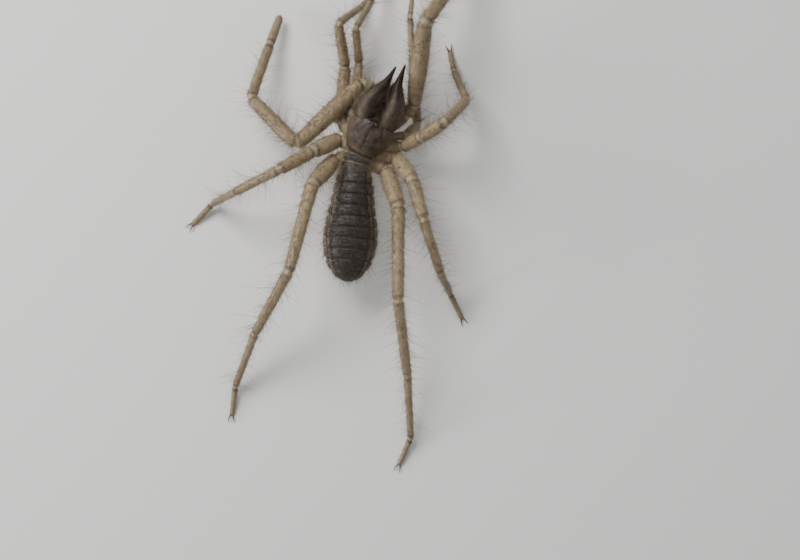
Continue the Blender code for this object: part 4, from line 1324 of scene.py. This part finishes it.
class CamelSpiderColours(bpy.types.PropertyGroup):
    """The colours of the animal."""

    straw: colour_property("Straw", "Palest colour of the skin of the limbs", (0.40, 0.295, 0.168))
    umber: colour_property("Umber", "Darkest colour of skin and plates", (0.024, 0.017, 0.012))
    shield: colour_property("Shield", "Palest colour of shield and jaws", (0.155, 0.105, 0.062))
    membrane: colour_property("Membrane", "Soft rings between lengths of limb", (0.40, 0.32, 0.21))
    speckle: colour_property("Speckle", "Small spots of the skin", (0.12, 0.08, 0.05))
    horn: colour_property("Horn", "Fangs and teeth", (0.022, 0.010, 0.007))
    eye: colour_property("Eye", "The eyes", (0.006, 0.005, 0.005))
    hair_pale: colour_property("Pale hair", "Palest hairs", (0.54, 0.418, 0.257))
    hair_brown: colour_property("Brown hair", "Darkest hairs", (0.042, 0.028, 0.018))
    floor: colour_property("Floor", "The floor under the animal", (0.74, 0.725, 0.70))


def density_property(name, description, default):
    return FloatProperty(name=name, description=description, default=default, min=0)


class CamelSpiderCoat(bpy.types.PropertyGroup):
    """How much hair grows, and how long."""

    short_density: density_property("Short hairs", "Short hairs to a square millimetre", 16.0)
    middle_density: density_property("Middle hairs", "Middle hairs to a square millimetre", 2.0)
    long_density: density_property("Long hairs", "Long hairs to a square millimetre", 0.36)
    length: FloatProperty(
        name="Length", description="Times the hairs' natural length", default=1.0, min=0.1, max=2
    )
    thickness: FloatProperty(
        name="Thickness",
        description="Radius of a short hair at its root",
        default=HAIR_RADIUS * MM,
        unit="LENGTH",
        precision=6,
    )
    seed: IntProperty(name="Seed", description="Where the hairs fall", default=7)


class CamelSpiderStage(bpy.types.PropertyGroup):
    """The camera's height and the light."""

    camera_height: FloatProperty(
        name="Camera height",
        description="Height of the camera over the floor",
        default=CAMERA_HEIGHT * MM,
        unit="LENGTH",
    )
    key_power: FloatProperty(
        name="Key light", description="Power of the main light", default=3.0, min=0, unit="POWER"
    )
    rim_power: FloatProperty(
        name="Rim light", description="Power of the light behind", default=2.4, min=0, unit="POWER"
    )


class CAMELSPIDER_OT_skin(bpy.types.Operator):
    """One skin over the trunk, the abdomen and all the limbs"""

    bl_idname = "camel_spider.skin"
    bl_label = "Skin"

    def execute(self, context):
        material = animal_material("hide")
        forms = [trunk_form(), abdomen_form()] + [Limb(name).form() for name in POSE]
        body = forms[0].make("skin", material)
        for form in forms[1:]:
            part = form.make("part", material)
            union = body.modifiers.new("union", "BOOLEAN")
            union.operation = "UNION"
            union.object = part
            union.solver = "MANIFOLD"
            pick(body)
            bpy.ops.object.modifier_apply(modifier=union.name)
            bpy.data.objects.remove(part, do_unlink=True)
        body.data.shade_smooth()
        copy_marks(body, forms)
        nodes = ["prosoma", "mesopeltidium", "metapeltidium", "abdomen"]
        for name in POSE:
            nodes += [f"{name}_{node}" for node in LIMB_NODES[name.rsplit("_", 1)[0]]]
        finish_piece(body, "skin", *nodes)
        return {"FINISHED"}


class CAMELSPIDER_OT_shield(bpy.types.Operator):
    """The head shield with its eye mound, and the two eyes"""

    bl_idname = "camel_spider.shield"
    bl_label = "Head Shield and Eyes"

    def execute(self, context):
        shield = shield_form().make("head_shield", animal_material("plate"))
        finish_piece(shield, "head_plate", "propeltidium")
        for side in ("left", "right"):
            low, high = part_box(f"eye_{side}")
            bpy.ops.object.select_all(action="DESELECT")
            bpy.ops.mesh.primitive_uv_sphere_add(
                segments=32, ring_count=20, radius=EYE_RADIUS * MM, location=(low + high) / 2
            )
            eye = context.object
            eye.name = f"eyeball_{side}"
            bpy.ops.object.transform_apply(location=True, rotation=True, scale=True)
            bpy.ops.object.shade_smooth()
            eye.data.materials.append(animal_material("eye_gloss"))
            finish_piece(eye, "eyes", f"eye_{side}")
        return {"FINISHED"}


class CAMELSPIDER_OT_jaws(bpy.types.Operator):
    """The two jaws, each with a fixed and a movable finger and their teeth"""

    bl_idname = "camel_spider.jaws"
    bl_label = "Jaws"

    def execute(self, context):
        for side, sign in (("left", -1), ("right", 1)):
            upper = self.half(f"jaw_{side}", UPPER_JAW, UPPER_TEETH, sign, -1)
            finish_piece(upper, "jaws", f"chelicera_{side}")
            lower = self.half(f"finger_{side}", LOWER_JAW, LOWER_TEETH, sign, 1)
            finish_piece(lower, "fangs", f"movable_finger_{side}")
        return {"FINISHED"}

    def half(self, name, table, teeth, sign, up):
        """One half of a jaw, with its teeth pointing up or down."""
        material = animal_material("jaw_horn")
        items = [jaw_form(table, sign, up < 0).make(name, material)]
        items += [tooth_form(table, row, sign, up).make("tooth", material) for row in teeth]
        return join(name, items)


class CAMELSPIDER_OT_claws(bpy.types.Operator):
    """A pair of curved claws on each walking foot"""

    bl_idname = "camel_spider.claws"
    bl_label = "Claws"

    def execute(self, context):
        claws = []
        for name in POSE:
            limb = Limb(name)
            if limb.kind not in STANDING:
                continue
            tip, way = limb.place(limb.count - 1, 1.0)
            for sign in (-1, 1):
                claws.append(claw_form(tip, way, sign).make("claw", animal_material("claw")))
        finish_piece(join("claws", claws), "skin")
        return {"FINISHED"}


class CAMELSPIDER_OT_rackets(bpy.types.Operator):
    """Five pale racket organs under each hind leg"""

    bl_idname = "camel_spider.rackets"
    bl_label = "Racket Organs"

    def execute(self, context):
        rackets = []
        for name in ("leg_4_left", "leg_4_right"):
            for segment, part in RACKETS:
                form = racket_form(Limb(name), segment, part)
                rackets.append(form.make("racket", animal_material("racket")))
        finish_piece(join("racket_organs", rackets), "skin")
        return {"FINISHED"}


def skin_tree():
    """The finished skin as a tree that finds the nearest point of it."""
    return BVHTree.FromObject(bpy.data.objects["skin"], bpy.context.evaluated_depsgraph_get())


class CAMELSPIDER_OT_limb_coat(bpy.types.Operator):
    """Short, middle and long hairs on every limb, one piece to a limb"""

    bl_idname = "camel_spider.limb_coat"
    bl_label = "Hair of the Limbs"

    def execute(self, context):
        coat = context.scene.camel_spider_coat
        tree = skin_tree()
        densities = {kind: getattr(coat, f"{kind}_density") for kind in LIMB_HAIRS}
        for order, name in enumerate(POSE):
            limb = Limb(name)
            form = limb.form()
            steps = np.array([row[0] - limb.coxa_count + 1 for row in limb.stations()])
            all_steps = range(FOOT_STEP + 1)
            hairs = Coat(coat.seed + order)
            for kind, (spreads, sway, sections, brown) in LIMB_HAIRS.items():
                growth = np.interp(steps, all_steps, GROWTH[kind][limb.kind])
                roots = hairs.roots(form, densities[kind] * growth[:, None])
                if roots is None:
                    continue
                roots = hairs.uncovered(roots, tree)
                length = np.interp(steps, all_steps, LENGTHS[kind])[roots["ring"]] * coat.length
                usual = (length, coat.thickness / MM, 1.0, 1.0)
                hairs.grow(roots, usual, spreads, sway, sections, brown)
            hairs.make(f"coat_{name}", animal_material("hair"), "skin")
        return {"FINISHED"}


class CAMELSPIDER_OT_spines(bpy.types.Operator):
    """Pairs of stout dark spines under the limbs"""

    bl_idname = "camel_spider.spines"
    bl_label = "Spines"

    def execute(self, context):
        spines = Coat(context.scene.camel_spider_coat.seed + SPINE_SEED)
        for name in POSE:
            limb = Limb(name)
            for step, count in enumerate(SPINES.get(limb.kind, ())):
                for k in range(count):
                    self.add_pair(spines, limb, step, (k + 0.7) / (count + 0.4))
        spines.make("spines", animal_material("bristle"), "skin")
        return {"FINISHED"}

    def add_pair(self, spines, limb, step, part):
        """Two spines under the limb, which lean out to either side."""
        foot = step == FOOT_STEP
        segment = step + limb.coxa_count - 1
        centre, way = limb.place(segment, part)
        side = unit(np.cross(way, UP))
        over = np.cross(side, way)
        size = limb.radius(segment, part)
        length = SPINE_LENGTH * (1.25 if limb.kind == "pedipalp" else 0.85 if foot else 1.0)
        spread = 0.5 if foot else 0.65
        for turn in (-spread, spread):
            angle = -math.pi / 2 + turn + spines.random.normal(0, 0.08)
            out = side * math.cos(angle) + over * math.sin(angle)
            root = {
                "root": (centre + out * size)[None],
                "out": out[None],
                "along": way[None],
                "marks": np.array(((0.0, 0.8, 0.0),)),
                "spot": np.array(((segment / 8 + part / 8, 0.5 + turn / 4),)),
            }
            shape = (np.array((value,)) for value in (length, SPINE_RADIUS, *SPINE_LIFTS))
            spines.add(root, *shape, SPINE_SWAY, SPINE_SECTIONS)


class CAMELSPIDER_OT_body_coat(bpy.types.Operator):
    """Hairs of the trunk and the abdomen"""

    bl_idname = "camel_spider.body_coat"
    bl_label = "Hair of the Body"

    def execute(self, context):
        coat = context.scene.camel_spider_coat
        tree = skin_tree()
        # The trunk's rings run forward and the abdomen's run back, and all hairs point back.
        plans = (
            ("trunk", trunk_form(), "skin", True),
            ("abdomen", abdomen_form(), "abdomen", False),
        )
        for order, (name, form, slot, backward) in enumerate(plans):
            hairs = Coat(coat.seed + BODY_SEED + order)
            for row in BODY_HAIRS:
                hairs.field(form, row, coat, BODY_PLAN, tree, backward)
            hairs.make(f"coat_{name}", animal_material("hair"), slot)
        return {"FINISHED"}


class CAMELSPIDER_OT_head_coat(bpy.types.Operator):
    """Bristles and hairs of the head shield and the jaws"""

    bl_idname = "camel_spider.head_coat"
    bl_label = "Hair of the Head"

    def execute(self, context):
        coat = context.scene.camel_spider_coat
        hairs = Coat(coat.seed + HEAD_SEED)
        plans = [(shield_form(), SHIELD_HAIRS)]
        for sign in (-1, 1):
            plans.append((jaw_form(UPPER_JAW, sign, True), UPPER_JAW_HAIRS))
            plans.append((jaw_form(LOWER_JAW, sign, False), LOWER_JAW_HAIRS))
        for form, rows in plans:
            for row in rows:
                hairs.field(form, row, coat, HEAD_PLAN)
        hairs.make("coat_head", animal_material("hair"), "jaws")
        return {"FINISHED"}


class CAMELSPIDER_OT_stage(bpy.types.Operator):
    """The floor, the soft lights and the camera over the animal"""

    bl_idname = "camel_spider.stage"
    bl_label = "Stage"

    def execute(self, context):
        scene = context.scene
        stage = scene.camel_spider_stage
        self.add_floor(context)
        self.add_light(scene, "key_light", *KEY_LIGHT, stage.key_power)
        self.add_light(scene, "rim_light", *RIM_LIGHT, stage.rim_power)
        self.add_sky(scene)
        self.add_camera(scene, stage.camera_height)
        return {"FINISHED"}

    def add_floor(self, context):
        bpy.ops.object.select_all(action="DESELECT")
        bpy.ops.mesh.primitive_plane_add(size=FLOOR_WIDTH, location=(0, 0, -FLOOR_DROP * MM))
        floor = context.object
        floor.name = "floor"
        bpy.ops.object.transform_apply(location=True, rotation=True, scale=True)
        floor.data.materials.append(animal_material("floor"))

    def add_light(self, scene, name, place, size, power):
        lamp = bpy.data.lights.new(name, "AREA")
        lamp.shape = "DISK"
        lamp.size = size
        lamp.energy = power
        item = bpy.data.objects.new(name, lamp)
        item.location = place
        aim = Vector(LIGHT_TARGET) - Vector(place)
        item.rotation_euler = aim.to_track_quat("-Z", "Y").to_euler()
        scene.collection.objects.link(item)

    def add_sky(self, scene):
        """An even light from all around, which the camera sees in the floor's colour."""
        world = bpy.data.worlds.new("studio")
        world.use_nodes = True
        tree = world.node_tree
        background = tree.nodes["Background"]
        background.inputs["Strength"].default_value = SKY_STRENGTH
        path = tree.nodes.new("ShaderNodeLightPath")
        backdrop = scene.camel_spider_colours.floor
        colour = mix_colour(tree, path.outputs["Is Camera Ray"], SKY_COLOUR, backdrop)
        feed(tree, background.inputs["Color"], colour)
        scene.world = world

    def add_camera(self, scene, height):
        lens = bpy.data.cameras.new("camera")
        lens.sensor_width = SENSOR
        lens.lens = SENSOR / 2 / math.tan(math.radians(CAMERA_VIEW / 2))
        lens.clip_start = 0.01
        lens.clip_end = 20.0
        camera = bpy.data.objects.new("camera", lens)
        x, y = (np.array(CAMERA_OVER) + SHIFT[:2]) * MM
        camera.location = (x, y, height)
        camera.rotation_euler = (0, 0, math.radians(CAMERA_TURN))
        scene.collection.objects.link(camera)
        scene.camera = camera


STEPS = (
    CAMELSPIDER_OT_skin,
    CAMELSPIDER_OT_shield,
    CAMELSPIDER_OT_jaws,
    CAMELSPIDER_OT_claws,
    CAMELSPIDER_OT_rackets,
    CAMELSPIDER_OT_limb_coat,
    CAMELSPIDER_OT_spines,
    CAMELSPIDER_OT_body_coat,
    CAMELSPIDER_OT_head_coat,
    CAMELSPIDER_OT_stage,
)


class CAMELSPIDER_PT_build(bpy.types.Panel):
    """Lists the pieces of the animal"""

    bl_label = "Camel Spider"
    bl_idname = "CAMELSPIDER_PT_build"
    bl_space_type = "VIEW_3D"
    bl_region_type = "UI"
    bl_category = "Camel Spider"

    def draw(self, context):
        for step in STEPS:
            self.layout.operator(step.bl_idname)
        for group in ("camel_spider_colours", "camel_spider_coat", "camel_spider_stage"):
            settings = getattr(context.scene, group)
            for name in settings.__annotations__:
                self.layout.prop(settings, name)


GROUPS = (
    ("camel_spider_colours", CamelSpiderColours),
    ("camel_spider_coat", CamelSpiderCoat),
    ("camel_spider_stage", CamelSpiderStage),
)


def register():
    for name, group in GROUPS:
        bpy.utils.register_class(group)
        setattr(bpy.types.Scene, name, PointerProperty(type=group))
    for step in STEPS:
        bpy.utils.register_class(step)
    bpy.utils.register_class(CAMELSPIDER_PT_build)


def unregister():
    bpy.utils.unregister_class(CAMELSPIDER_PT_build)
    for step in reversed(STEPS):
        bpy.utils.unregister_class(step)
    for name, group in reversed(GROUPS):
        delattr(bpy.types.Scene, name)
        bpy.utils.unregister_class(group)


def main():
    register()
    bpy.ops.camel_spider.skin()
    bpy.ops.camel_spider.shield()
    bpy.ops.camel_spider.jaws()
    bpy.ops.camel_spider.claws()
    bpy.ops.camel_spider.rackets()
    bpy.ops.camel_spider.limb_coat()
    bpy.ops.camel_spider.spines()
    bpy.ops.camel_spider.body_coat()
    bpy.ops.camel_spider.head_coat()
    bpy.ops.camel_spider.stage()


if __name__ == "__main__":
    main()
